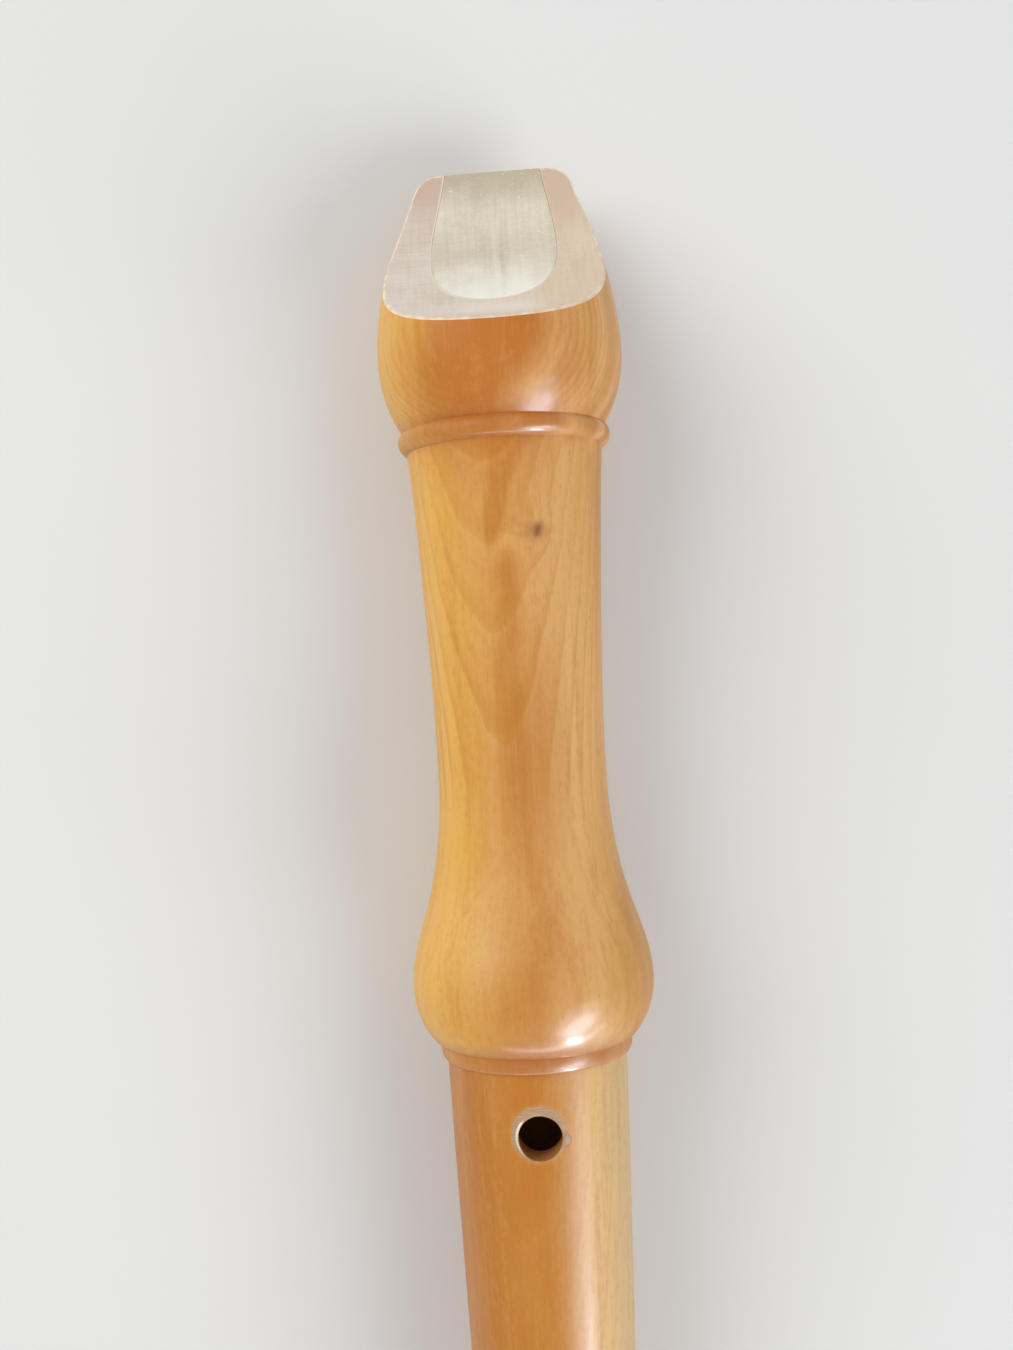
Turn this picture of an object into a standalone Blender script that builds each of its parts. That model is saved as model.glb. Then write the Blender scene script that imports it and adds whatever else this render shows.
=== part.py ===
"""A wooden soprano (descant) recorder in C, in three turned joints, lying on its front, thumb hole up.

The instrument is drawn upright in its own frame and laid down at the end. In that frame +Z runs along the
bore towards the beak, +Y is the front (window and finger holes), -Y is the back (thumb hole and beak cut),
and Z = 0 is the shoulder of the middle joint, on which the head joint seats. All sizes are in metres.
"""

import math

import bmesh
import bpy

# Driving dimensions
HEAD_LENGTH = 0.1194
MIDDLE_LENGTH = 0.1358
FOOT_LENGTH = 0.0715
SIDES = 44

# How far the head joint is turned on its tenon, its back going to the player's left
HEAD_TURN = math.radians(2.4)

# How far the whole instrument is rolled the same way as it lies
LAID_TURN = math.radians(1.6)

# Clearances between pieces that touch on the real instrument
SEAT_GAP = 0.00015
BLOCK_GAP = 0.0001
BLOCK_END_GAP = 0.0001
CORK_GAP = 0.0001
CORK_SEAT_GAP = 0.00006
TENON_END_GAP = 0.0004

# Head joint, turned outline. "FROM_TIP" is measured down from the beak's tip, "RISE" up from the lower end
TIP_RADIUS = 0.0097
TIP_SIDE_RADIUS = 0.01228
TIP_SIDE_SLOPE = 0.19
TIP_ROUNDING = 0.0042
BEAK_SHOULDER_FROM_TIP = 0.0145
BEAK_SHOULDER_RADIUS = 0.01443
BEAK_SHOULDER_SLOPE = 0.225
BEAK_BULB_FROM_TIP = 0.0265
BEAK_BULB_RADIUS = 0.01628
BEAK_BULB_END_SLOPE = 0.62
RING_FROM_TIP = 0.0379
RING_BEAD_RADIUS = 0.0016
RING_RADIUS = 0.01416
RING_GROOVE_RADIUS = 0.01352
BARREL_TOP_RADIUS = 0.01306
BARREL_TOP_SLOPE = 0.11
BARREL_MID_FROM_TIP = 0.0506
BARREL_MID_RADIUS = 0.01226
BARREL_MID_SLOPE = 0.052
WAIST_RISE = 0.0385
WAIST_RADIUS = 0.01121
SWELL_RISE = 0.0208
SWELL_RADIUS = 0.01336
SWELL_SLOPE = 0.29
HEAD_BULB_RISE = 0.0097
HEAD_BULB_RADIUS = 0.01605
HEAD_BULB_UNDER_HEIGHT = 0.009
HEAD_BULB_UNDER_DEPTH = 0.0065
HEAD_BAND_RISE = 0.0023
HEAD_BAND_RADIUS = 0.01282
BAND_ROUNDED_SHARE = 0.82

# Head joint, inside
HEAD_BORE_RADIUS = 0.0079
BLOCK_SEAT_STEP = 0.0003
BLOCK_SEAT_TIP_RADIUS = 0.00865
SOCKET_MOUTH_CHAMFER = 0.0004

# Beak cut: a hollow arc from the tip to the heel, seen from the side. Heights are towards the back
BEAK_CUT_RADIUS = 0.034
BEAK_TIP_BELOW_AXIS = 0.0056
BEAK_HEEL_FROM_TIP = 0.0252
BEAK_CUT_SIDES = 96

# Windway, window and labium, on the front
WINDOW_FROM_TIP = 0.0396
WINDOW_HEIGHT = 0.004
WINDOW_WIDTH = 0.0104
WINDWAY_ENTRY_WIDTH = 0.0116
WINDWAY_EXIT_FLOOR = 0.00715
WINDWAY_EXIT_HEIGHT = 0.0012
WINDWAY_ENTRY_RISE = 0.0006
WINDWAY_ENTRY_HEIGHT = 0.0015
WINDWAY_ARCH_RADIUS = 0.014
LABIUM_STEP = 0.0003
LABIUM_THICKNESS = 0.00025
RAMP_LENGTH = 0.0136
UNDERCUT_LENGTH = 0.007
UNDERCUT_DROP = 0.0011
BLOCK_CHAMFER = 0.0007

# Middle joint, turned outline and bore. "DROP" is measured down from the upper shoulder
MIDDLE_TOP_RADIUS = 0.01195
MIDDLE_KNEE_DROP = 0.0405
MIDDLE_KNEE_RADIUS = 0.01092
MIDDLE_KNEE_SLOPE = 0.026
MIDDLE_TOP_SLOPE = 0.019
MIDDLE_BOTTOM_RADIUS = 0.0097
MIDDLE_BORE_TOP_RADIUS = 0.0074
MIDDLE_BORE_BOTTOM_RADIUS = 0.0054
HEAD_LIP = 0.0002

# Tenons and their cork lappings
UPPER_TENON_LENGTH = 0.0196
UPPER_TENON_RADIUS = 0.0093
UPPER_CORK_START = 0.0028
UPPER_CORK_LENGTH = 0.0136
LOWER_TENON_LENGTH = 0.0146
LOWER_TENON_RADIUS = 0.0076
LOWER_CORK_START = 0.0022
LOWER_CORK_LENGTH = 0.0098
CORK_GROOVE_DEPTH = 0.0006
CORK_PROUD = 0.0003
CORK_EDGE = 0.0004
TENON_CHAMFER = 0.0006

# Finger holes: how wide at the outside, and how far down from the upper shoulder.
# "SHARE" is that distance as a share of the middle joint's length, which sets the tuning
THUMB_HOLE_SHARE = 0.0593
THUMB_HOLE_WIDTH = 0.0056
HOLE_1_SHARE = 0.137
HOLE_1_WIDTH = 0.0053
HOLE_2_SHARE = 0.288
HOLE_2_WIDTH = 0.0058
HOLE_3_SHARE = 0.435
HOLE_3_WIDTH = 0.0048
HOLE_4_SHARE = 0.6156
HOLE_4_WIDTH = 0.0053
HOLE_5_SHARE = 0.7666
HOLE_5_WIDTH = 0.0056
HOLE_6_SHARE = 0.9175
HOLE_6_LARGE_WIDTH = 0.0044
HOLE_6_SMALL_WIDTH = 0.0036
HOLE_7_BELOW_FOOT_TOP = 0.0218
HOLE_7_LARGE_WIDTH = 0.0038
HOLE_7_SMALL_WIDTH = 0.0032
DOUBLE_HOLE_WEB = 0.0011
FOOT_TURN = math.radians(14)
HOLE_UNDERCUT = 1.16
HOLE_SIDES = 28

# Foot joint, turned outline and bore. "DEPTH" is measured down from its upper end
FOOT_LIP = 0.0021
FOOT_BAND_DEPTH = 0.0022
FOOT_BAND_RADIUS = 0.0126
FOOT_BULB_DEPTH = 0.0093
FOOT_BULB_RADIUS = 0.0158
FOOT_BULB_TOP_HEIGHT = 0.0084
FOOT_BULB_TOP_SINK = 0.0062
FOOT_SWELL_DEPTH = 0.0196
FOOT_SWELL_RADIUS = 0.01285
FOOT_SWELL_SLOPE = 0.27
FOOT_WAIST_DEPTH = 0.0415
FOOT_WAIST_RADIUS = 0.01045
FOOT_RING_RISE = 0.0118
FOOT_RING_BEAD_RADIUS = 0.0013
FOOT_RING_RADIUS = 0.01285
FOOT_FLARE_RADIUS = 0.01186
FOOT_FLARE_SLOPE = 0.16
BELL_TOP_RADIUS = 0.01215
BELL_RISE = 0.0056
BELL_RADIUS = 0.01365
BELL_END_RADIUS = 0.01235
FOOT_BORE_RADIUS = 0.0052
FOOT_BORE_END_RADIUS = 0.0051
BORE_MOUTH_CHAMFER = 0.0005

# Points on each stretch of an outline and on each arch of the windway
LONG_STRETCH = 6
SHORT_STRETCH = 4
SHORTEST_STRETCH = 3
BEAD_POINTS = 6
ARCH_POINTS = 10
FLOOR_ARCH_POINTS = 20

# Edges sharper than this stay sharp when a piece is shaded smooth
SHARP_ANGLE = math.radians(28)

# Colours of the finished surfaces: varnished pear wood, bare cedar and cork
PEAR_COLOUR = (0.50, 0.235, 0.062, 1.0)
PEAR_ROUGHNESS = 0.32
CEDAR_COLOUR = (0.52, 0.42, 0.28, 1.0)
CEDAR_ROUGHNESS = 0.75
CORK_COLOUR = (0.46, 0.27, 0.13, 1.0)
CORK_ROUGHNESS = 0.85

# How far a cutter reaches past what it cuts
REACH = 0.004

# Sizes that follow from the ones above
HALF_STEP = math.pi / SIDES
UPPER_SOCKET_RADIUS = UPPER_TENON_RADIUS + CORK_PROUD + CORK_GAP
LOWER_SOCKET_RADIUS = LOWER_TENON_RADIUS + CORK_PROUD + CORK_GAP
UPPER_SOCKET_DEPTH = UPPER_TENON_LENGTH + TENON_END_GAP
LOWER_SOCKET_DEPTH = LOWER_TENON_LENGTH + TENON_END_GAP
HEAD_END_RADIUS = MIDDLE_TOP_RADIUS + HEAD_LIP
FOOT_TOP_RADIUS = MIDDLE_BOTTOM_RADIUS + FOOT_LIP
WINDOW_RISE = HEAD_LENGTH - WINDOW_FROM_TIP
LABIUM_RISE = WINDOW_RISE - WINDOW_HEIGHT
BLOCK_SEAT_RADIUS = HEAD_BORE_RADIUS + BLOCK_SEAT_STEP
LARGEST_RADIUS = max(BEAK_BULB_RADIUS, HEAD_BULB_RADIUS, FOOT_BULB_RADIUS)
FOOT_TOP_Z = -MIDDLE_LENGTH - SEAT_GAP
LOWEST_Z = FOOT_TOP_Z - FOOT_LENGTH
HIGHEST_Z = SEAT_GAP + HEAD_LENGTH


def clear_scene():
    """Removes the start-up scene's objects."""
    for obj in list(bpy.data.objects):
        bpy.data.objects.remove(obj)


def new_collection(name):
    """A collection for part of the model."""
    collection = bpy.data.collections.new(name)
    bpy.context.scene.collection.children.link(collection)
    return collection


def new_frame(name, collection):
    """An empty that pieces are placed by."""
    empty = bpy.data.objects.new(name, None)
    collection.objects.link(empty)
    return empty


def new_material(name, colour, roughness):
    """A plain wood or cork finish."""
    material = bpy.data.materials.new(name)
    material.use_nodes = True
    shader = material.node_tree.nodes["Principled BSDF"]
    shader.inputs["Base Color"].default_value = colour
    shader.inputs["Roughness"].default_value = roughness
    shader.inputs["Metallic"].default_value = 0.0
    material.diffuse_color = colour
    return material


def place(name, mesh, collection, parent, height):
    """Puts a mesh in the scene with its origin on the bore's axis, at this height in the upright frame."""
    obj = bpy.data.objects.new(name, mesh)
    collection.objects.link(obj)
    obj.parent = parent
    obj.location = (0.0, 0.0, height)
    return obj


def blend(start, end, start_slope, end_slope, points):
    """Points of a smooth stretch between two (height, radius) stations, leaving out the first one.

    A slope is the change of radius for each metre the height falls, so one above 0 swells downwards.
    """
    (z0, r0), (z1, r1) = start, end
    fall = z0 - z1
    made = []
    for i in range(1, points + 1):
        u = i / points
        radius = (
            (2 * u**3 - 3 * u**2 + 1) * r0
            + (u**3 - 2 * u**2 + u) * fall * start_slope
            + (3 * u**2 - 2 * u**3) * r1
            + (u**3 - u**2) * fall * end_slope
        )
        made.append((z0 - fall * u, radius))
    return made


def bead(height, centre_radius, bead_radius, above, below, points):
    """Points of a round bead, from where it leaves radius "above" to where it meets radius "below"."""
    start = math.asin(max(-1.0, min(1.0, (above - centre_radius) / bead_radius)))
    end = math.pi - math.asin(max(-1.0, min(1.0, (below - centre_radius) / bead_radius)))
    made = []
    for i in range(points + 1):
        angle = start + (end - start) * i / points
        made.append((height + bead_radius * math.cos(angle), centre_radius + bead_radius * math.sin(angle)))
    return made


def quarter(height, radius, tall, deep, start, end, points):
    """Points of an elliptical stretch round a widest place, between two angles from it, in radians."""
    made = []
    for i in range(points + 1):
        angle = start + (end - start) * i / points
        made.append((height - tall * math.sin(angle), radius - deep * (1 - math.cos(angle))))
    return made


def turned(name, outer, inner, collection, parent, height, turn=LAID_TURN):
    """A turned hollow piece: the outer outline runs down, then the inner one up, all as (height, radius).

    It starts half a side and its own turn round, so that one flat side faces straight down as it lies.
    """
    mesh = bpy.data.meshes.new(name)
    outline = outer + inner
    start = HALF_STEP + turn
    points = [(r * math.cos(start), r * math.sin(start), z) for z, r in outline]
    edges = [(i, (i + 1) % len(points)) for i in range(len(points))]
    mesh.from_pydata(points, edges, [])
    obj = place(name, mesh, collection, parent, height)
    screw = obj.modifiers.new("Turn", "SCREW")
    screw.steps = screw.render_steps = SIDES
    screw.use_merge_vertices = True
    screw.merge_threshold = 0.000001
    return obj


def ring_of(points, height):
    """Lifts a section's (x, y) points to one height."""
    return [(x, y, height) for x, y in points]


def arched_section(width, floor, crown, arch_radius, roof=True, arch_points=ARCH_POINTS):
    """A section, anticlockwise from above, between a flat level and an arch whose middle is at the crown.

    With roof set the arch is the front side of the section, and otherwise it is the back side.
    """
    half = width / 2
    arch = []
    for i in range(arch_points + 1):
        x = half - width * i / arch_points
        arch.append((x, crown - arch_radius + math.sqrt(arch_radius**2 - x**2)))
    if roof:
        return [(-half, floor), (half, floor)] + arch
    return [(half, floor), (-half, floor)] + arch[::-1]


def loft_cutter(name, lower, upper, cutters, parent):
    """A closed cutter between a lower and an upper ring with the same number of points."""
    count = len(lower)
    sides = [(i, (i + 1) % count, count + (i + 1) % count, count + i) for i in range(count)]
    faces = [tuple(reversed(range(count))), tuple(range(count, 2 * count))] + sides
    mesh = bpy.data.meshes.new(name)
    mesh.from_pydata(lower + upper, [], faces)
    return as_cutter(place(name, mesh, cutters, parent, 0.0))


def as_cutter(obj):
    """Keeps a helper out of the render, shown as wires."""
    obj.hide_render = True
    obj.display_type = "WIRE"
    return obj


def cut(obj, cutter):
    """Takes the cutter away from the object."""
    boolean = obj.modifiers.new(cutter.name, "BOOLEAN")
    boolean.operation = "DIFFERENCE"
    boolean.solver = "EXACT"
    boolean.object = cutter


def hole_cutter(name, height, width, turn, back, outside, cutters, parent):
    """A drilled and undercut hole: as wide as asked at the outside, and wider towards the bore.

    turn is its angle round the bore from the front (or from the back), towards the player's right.
    """
    reach = outside + REACH
    mesh = bpy.data.meshes.new(name)
    shape = bmesh.new()
    mouth = width / 2
    slope = (HOLE_UNDERCUT - 1) * mouth / outside
    bmesh.ops.create_cone(
        shape,
        cap_ends=True,
        segments=HOLE_SIDES,
        radius1=mouth + slope * outside,
        radius2=mouth - slope * REACH,
        depth=reach,
    )
    bmesh.ops.translate(shape, verts=shape.verts, vec=(0.0, 0.0, reach / 2))
    shape.to_mesh(mesh)
    shape.free()
    cutter = place(name, mesh, cutters, parent, height)
    lean = math.radians(90) if back else math.radians(-90)
    cutter.rotation_euler = (lean, 0.0, -turn)
    return as_cutter(cutter)


def wood_outline_head():
    """The head joint's outer outline, from the beak's tip down to the end that seats on the middle joint."""
    top = HEAD_LENGTH
    outline = [(top, TIP_RADIUS)]
    side = TIP_SIDE_RADIUS - TIP_RADIUS
    for i in range(1, SHORT_STRETCH):
        angle = math.pi / 2 * i / SHORT_STRETCH
        height = top - TIP_ROUNDING * (1 - math.cos(angle))
        outline.append((height, TIP_RADIUS + side * math.sin(angle)))
    side_end = (top - TIP_ROUNDING, TIP_SIDE_RADIUS)
    outline.append(side_end)
    shoulder = (top - BEAK_SHOULDER_FROM_TIP, BEAK_SHOULDER_RADIUS)
    outline += blend(side_end, shoulder, TIP_SIDE_SLOPE, BEAK_SHOULDER_SLOPE, SHORT_STRETCH)
    bulb = (top - BEAK_BULB_FROM_TIP, BEAK_BULB_RADIUS)
    outline += blend(shoulder, bulb, BEAK_SHOULDER_SLOPE, 0.0, SHORT_STRETCH)
    ring = bead(
        top - RING_FROM_TIP,
        RING_RADIUS - RING_BEAD_RADIUS,
        RING_BEAD_RADIUS,
        RING_GROOVE_RADIUS,
        BARREL_TOP_RADIUS,
        BEAD_POINTS,
    )
    outline += blend(bulb, ring[0], 0.0, -BEAK_BULB_END_SLOPE, LONG_STRETCH)
    outline += ring[1:]
    barrel_mid = (top - BARREL_MID_FROM_TIP, BARREL_MID_RADIUS)
    waist = (WAIST_RISE, WAIST_RADIUS)
    swell = (SWELL_RISE, SWELL_RADIUS)
    lower_bulb = (HEAD_BULB_RISE, HEAD_BULB_RADIUS)
    outline += blend(
        ring[-1], barrel_mid, -BARREL_TOP_SLOPE, -BARREL_MID_SLOPE, SHORTEST_STRETCH
    )
    outline += blend(barrel_mid, waist, -BARREL_MID_SLOPE, 0.0, SHORT_STRETCH)
    outline += blend(waist, swell, 0.0, SWELL_SLOPE, LONG_STRETCH)
    outline += blend(swell, lower_bulb, SWELL_SLOPE, 0.0, SHORT_STRETCH)
    under = math.asin((HEAD_BULB_RISE - HEAD_BAND_RISE) / HEAD_BULB_UNDER_HEIGHT)
    outline += quarter(
        HEAD_BULB_RISE,
        HEAD_BULB_RADIUS,
        HEAD_BULB_UNDER_HEIGHT,
        HEAD_BULB_UNDER_DEPTH,
        0.0,
        under,
        LONG_STRETCH,
    )[1:]
    outline += end_band(HEAD_BAND_RISE, HEAD_BAND_RADIUS, HEAD_END_RADIUS)
    return outline


def end_band(rise, radius, end_radius):
    """The narrow rounded band at a joint's socket end, running down to its end face at height 0."""
    flat = rise * BAND_ROUNDED_SHARE
    made = [(rise - (rise - flat) / 2, radius)]
    for i in range(SHORT_STRETCH):
        angle = math.pi / 2 * i / (SHORT_STRETCH - 1)
        drop = radius - end_radius
        made.append((flat * (1 - math.sin(angle)), radius - drop * (1 - math.cos(angle))))
    return made


def beak_cutter(cutters, parent):
    """The cylinder, lying across the beak, that hollows out its back from the tip to the heel."""
    tip = (HEAD_LENGTH, -BEAK_TIP_BELOW_AXIS)
    heel = (HEAD_LENGTH - BEAK_HEEL_FROM_TIP, BEAK_BULB_RADIUS)
    along, up = heel[0] - tip[0], heel[1] - tip[1]
    chord = math.hypot(along, up)
    sink = math.sqrt(BEAK_CUT_RADIUS**2 - (chord / 2) ** 2)
    centre = (
        (tip[0] + heel[0]) / 2 + sink * up / chord,
        (tip[1] + heel[1]) / 2 - sink * along / chord,
    )
    mesh = bpy.data.meshes.new("beak_cutter")
    shape = bmesh.new()
    bmesh.ops.create_cone(
        shape,
        cap_ends=True,
        segments=BEAK_CUT_SIDES,
        radius1=BEAK_CUT_RADIUS,
        radius2=BEAK_CUT_RADIUS,
        depth=2 * (BEAK_BULB_RADIUS + REACH),
    )
    shape.to_mesh(mesh)
    shape.free()
    cutter = place("beak_cutter", mesh, cutters, parent, centre[0])
    cutter.location.y = -centre[1]
    cutter.rotation_euler = (0.0, math.radians(90), 0.0)
    return as_cutter(cutter)


def windway_roof_cutter(cutters, parent):
    """The channel in the head joint's wall over the block, wider and higher where the breath goes in."""
    exit_roof = WINDWAY_EXIT_FLOOR + WINDWAY_EXIT_HEIGHT
    entry_roof = WINDWAY_EXIT_FLOOR + WINDWAY_ENTRY_RISE + WINDWAY_ENTRY_HEIGHT
    floor = HEAD_BORE_RADIUS / 2
    growth = 1 + REACH / WINDOW_FROM_TIP
    entry_width = WINDOW_WIDTH + (WINDWAY_ENTRY_WIDTH - WINDOW_WIDTH) * growth
    entry_crown = exit_roof + (entry_roof - exit_roof) * growth
    lower = ring_of(arched_section(WINDOW_WIDTH, floor, exit_roof, WINDWAY_ARCH_RADIUS), WINDOW_RISE)
    upper = ring_of(
        arched_section(entry_width, floor, entry_crown, WINDWAY_ARCH_RADIUS), HEAD_LENGTH + REACH
    )
    return loft_cutter("windway_roof_cutter", lower, upper, cutters, parent)


def window_cutter(cutters, parent):
    """The window's straight-sided opening between the block's end and the labium's edge."""
    half = WINDOW_WIDTH / 2
    low = HEAD_BORE_RADIUS / 2
    high = LARGEST_RADIUS + REACH
    section = [(-half, low), (half, low), (half, high), (-half, high)]
    lower = ring_of(section, LABIUM_RISE)
    upper = ring_of(section, WINDOW_RISE)
    return loft_cutter("window_cutter", lower, upper, cutters, parent)


def ramp_cutter(cutters, parent):
    """Everything above the labium's ramp, which rises from the edge to the barrel's outside."""
    crown = HEAD_BORE_RADIUS + LABIUM_STEP
    slope = (BARREL_MID_RADIUS - crown) / RAMP_LENGTH
    high = LARGEST_RADIUS + REACH
    long = RAMP_LENGTH + REACH
    lower = arched_section(
        WINDOW_WIDTH, high, crown + slope * long, WINDWAY_ARCH_RADIUS, roof=False
    )
    upper = arched_section(WINDOW_WIDTH, high, crown, WINDWAY_ARCH_RADIUS, roof=False)
    lower = ring_of(lower, LABIUM_RISE - long)
    upper = ring_of(upper, LABIUM_RISE)
    return loft_cutter("ramp_cutter", lower, upper, cutters, parent)


def undercut_cutter(cutters, parent):
    """The relief under the labium that thins its edge to one thickness right across."""
    crown = HEAD_BORE_RADIUS + LABIUM_STEP - LABIUM_THICKNESS
    floor = HEAD_BORE_RADIUS / 2
    lower = arched_section(WINDOW_WIDTH, floor, crown - UNDERCUT_DROP, WINDWAY_ARCH_RADIUS)
    upper = arched_section(WINDOW_WIDTH, floor, crown, WINDWAY_ARCH_RADIUS)
    lower = ring_of(lower, LABIUM_RISE - UNDERCUT_LENGTH)
    upper = ring_of(upper, LABIUM_RISE + LABIUM_THICKNESS)
    return loft_cutter("undercut_cutter", lower, upper, cutters, parent)


def head_joint(collection, cutters, parent, beak):
    """The head joint: beak, windway roof, window and labium, barrel, and the socket in the lower bulb."""
    inner = [
        (0.0, UPPER_SOCKET_RADIUS + SOCKET_MOUTH_CHAMFER),
        (SOCKET_MOUTH_CHAMFER, UPPER_SOCKET_RADIUS),
        (UPPER_SOCKET_DEPTH, UPPER_SOCKET_RADIUS),
        (UPPER_SOCKET_DEPTH, HEAD_BORE_RADIUS),
        (WINDOW_RISE - BLOCK_END_GAP, HEAD_BORE_RADIUS),
        (WINDOW_RISE - BLOCK_END_GAP, BLOCK_SEAT_RADIUS),
        (HEAD_LENGTH, BLOCK_SEAT_TIP_RADIUS),
    ]
    turn = HEAD_TURN + LAID_TURN
    head = turned("head_joint", wood_outline_head(), inner, collection, parent, 0.0, turn)
    cut(head, windway_roof_cutter(cutters, parent))
    cut(head, window_cutter(cutters, parent))
    cut(head, ramp_cutter(cutters, parent))
    cut(head, undercut_cutter(cutters, parent))
    cut(head, beak)
    return head


def floor_section(crown):
    """A section of what is planed off the block's front, down to an arch with its middle at the crown."""
    width = 2 * BLOCK_SEAT_TIP_RADIUS + REACH
    return arched_section(
        width, LARGEST_RADIUS, crown, WINDWAY_ARCH_RADIUS, roof=False, arch_points=FLOOR_ARCH_POINTS
    )


def windway_floor_cutter(cutters, parent):
    """What is planed off the block's front to make the windway's arched floor."""
    entry_floor = WINDWAY_EXIT_FLOOR + WINDWAY_ENTRY_RISE
    lift = WINDWAY_ENTRY_RISE * REACH / WINDOW_FROM_TIP
    lower = ring_of(floor_section(WINDWAY_EXIT_FLOOR - lift), WINDOW_RISE - REACH)
    upper = ring_of(floor_section(entry_floor + lift), HEAD_LENGTH + REACH)
    return loft_cutter("windway_floor_cutter", lower, upper, cutters, parent)


def block_chamfer_cutter(cutters, parent):
    """The small slope, following the arch, on the block's edge where the breath leaves the windway."""
    reach = BLOCK_CHAMFER + REACH
    lower = floor_section(WINDWAY_EXIT_FLOOR - BLOCK_CHAMFER - reach)
    upper = floor_section(WINDWAY_EXIT_FLOOR - BLOCK_CHAMFER + reach)
    lower = ring_of(lower, WINDOW_RISE - reach)
    upper = ring_of(upper, WINDOW_RISE + reach)
    return loft_cutter("block_chamfer_cutter", lower, upper, cutters, parent)


def block(collection, cutters, parent, beak):
    """The cedar block that plugs the beak: slightly tapered, planed on its front to floor the windway."""
    mesh = bpy.data.meshes.new("block")
    shape = bmesh.new()
    bmesh.ops.create_cone(
        shape,
        cap_ends=True,
        segments=SIDES,
        radius1=BLOCK_SEAT_RADIUS - BLOCK_GAP,
        radius2=BLOCK_SEAT_TIP_RADIUS - BLOCK_GAP,
        depth=WINDOW_FROM_TIP,
    )
    bmesh.ops.translate(shape, verts=shape.verts, vec=(0.0, 0.0, WINDOW_RISE + WINDOW_FROM_TIP / 2))
    shape.to_mesh(mesh)
    shape.free()
    piece = place("block", mesh, collection, parent, 0.0)
    cut(piece, windway_floor_cutter(cutters, parent))
    cut(piece, block_chamfer_cutter(cutters, parent))
    cut(piece, beak)
    return piece


def tenon_outline(length, radius, cork_start, cork_length):
    """A tenon's outer outline from its end down to the shoulder at height 0, with the cork's groove."""
    floor = radius - CORK_GROOVE_DEPTH
    return [
        (length, radius - TENON_CHAMFER),
        (length - TENON_CHAMFER, radius),
        (cork_start + cork_length, radius),
        (cork_start + cork_length, floor),
        (cork_start, floor),
        (cork_start, radius),
        (0.0, radius),
    ]


def middle_joint(collection, cutters, parent):
    """The middle joint: a tenon at each end, the tapering bore, the thumb hole and six finger holes."""
    top = (0.0, MIDDLE_TOP_RADIUS)
    knee = (-MIDDLE_KNEE_DROP, MIDDLE_KNEE_RADIUS)
    bottom = (-MIDDLE_LENGTH, MIDDLE_BOTTOM_RADIUS)
    outer = tenon_outline(UPPER_TENON_LENGTH, UPPER_TENON_RADIUS, UPPER_CORK_START, UPPER_CORK_LENGTH)
    outer.append(top)
    outer += blend(top, knee, -MIDDLE_TOP_SLOPE, -MIDDLE_KNEE_SLOPE, SHORTEST_STRETCH)
    outer += blend(knee, bottom, -MIDDLE_KNEE_SLOPE, 0.0, LONG_STRETCH)
    lower = tenon_outline(LOWER_TENON_LENGTH, LOWER_TENON_RADIUS, LOWER_CORK_START, LOWER_CORK_LENGTH)
    outer += [(-MIDDLE_LENGTH - z, r) for z, r in reversed(lower)]
    inner = [
        (-MIDDLE_LENGTH - LOWER_TENON_LENGTH, MIDDLE_BORE_BOTTOM_RADIUS),
        (UPPER_TENON_LENGTH, MIDDLE_BORE_TOP_RADIUS),
    ]
    middle = turned("middle_joint", outer, inner, collection, parent, 0.0)
    holes = [
        ("thumb_hole_cutter", THUMB_HOLE_SHARE, THUMB_HOLE_WIDTH, 0.0, True),
        ("hole_1_cutter", HOLE_1_SHARE, HOLE_1_WIDTH, 0.0, False),
        ("hole_2_cutter", HOLE_2_SHARE, HOLE_2_WIDTH, 0.0, False),
        ("hole_3_cutter", HOLE_3_SHARE, HOLE_3_WIDTH, 0.0, False),
        ("hole_4_cutter", HOLE_4_SHARE, HOLE_4_WIDTH, 0.0, False),
        ("hole_5_cutter", HOLE_5_SHARE, HOLE_5_WIDTH, 0.0, False),
    ]
    for turn, width, size in double_hole(
        HOLE_6_LARGE_WIDTH, HOLE_6_SMALL_WIDTH, MIDDLE_BOTTOM_RADIUS
    ):
        holes.append((f"hole_6_{size}_cutter", HOLE_6_SHARE, width, turn, False))
    for name, share, width, turn, back in holes:
        height = -share * MIDDLE_LENGTH
        cut(middle, hole_cutter(name, height, width, turn, back, MIDDLE_TOP_RADIUS, cutters, parent))
    return middle


def double_hole(large, small, outside):
    """The (turn, width, name) of a pair of holes side by side: the large one on the player's right."""
    spacing = (large + small) / 2 + DOUBLE_HOLE_WEB
    turn = spacing / outside
    return [(turn / 2, large, "large"), (-turn / 2, small, "small")]


def cork_lapping(name, radius, start, length, collection, parent, height, sign):
    """A cork lapping in its tenon's groove, standing a little proud of the wood, with eased edges."""
    inside = radius - CORK_GROOVE_DEPTH + CORK_SEAT_GAP
    outside = radius + CORK_PROUD
    low, high = sorted((sign * (start + CORK_SEAT_GAP), sign * (start + length - CORK_SEAT_GAP)))
    outer = [
        (high, outside - CORK_EDGE),
        (high - CORK_EDGE, outside),
        (low + CORK_EDGE, outside),
        (low, outside - CORK_EDGE),
    ]
    return turned(name, outer, [(low, inside), (high, inside)], collection, parent, height)


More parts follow.
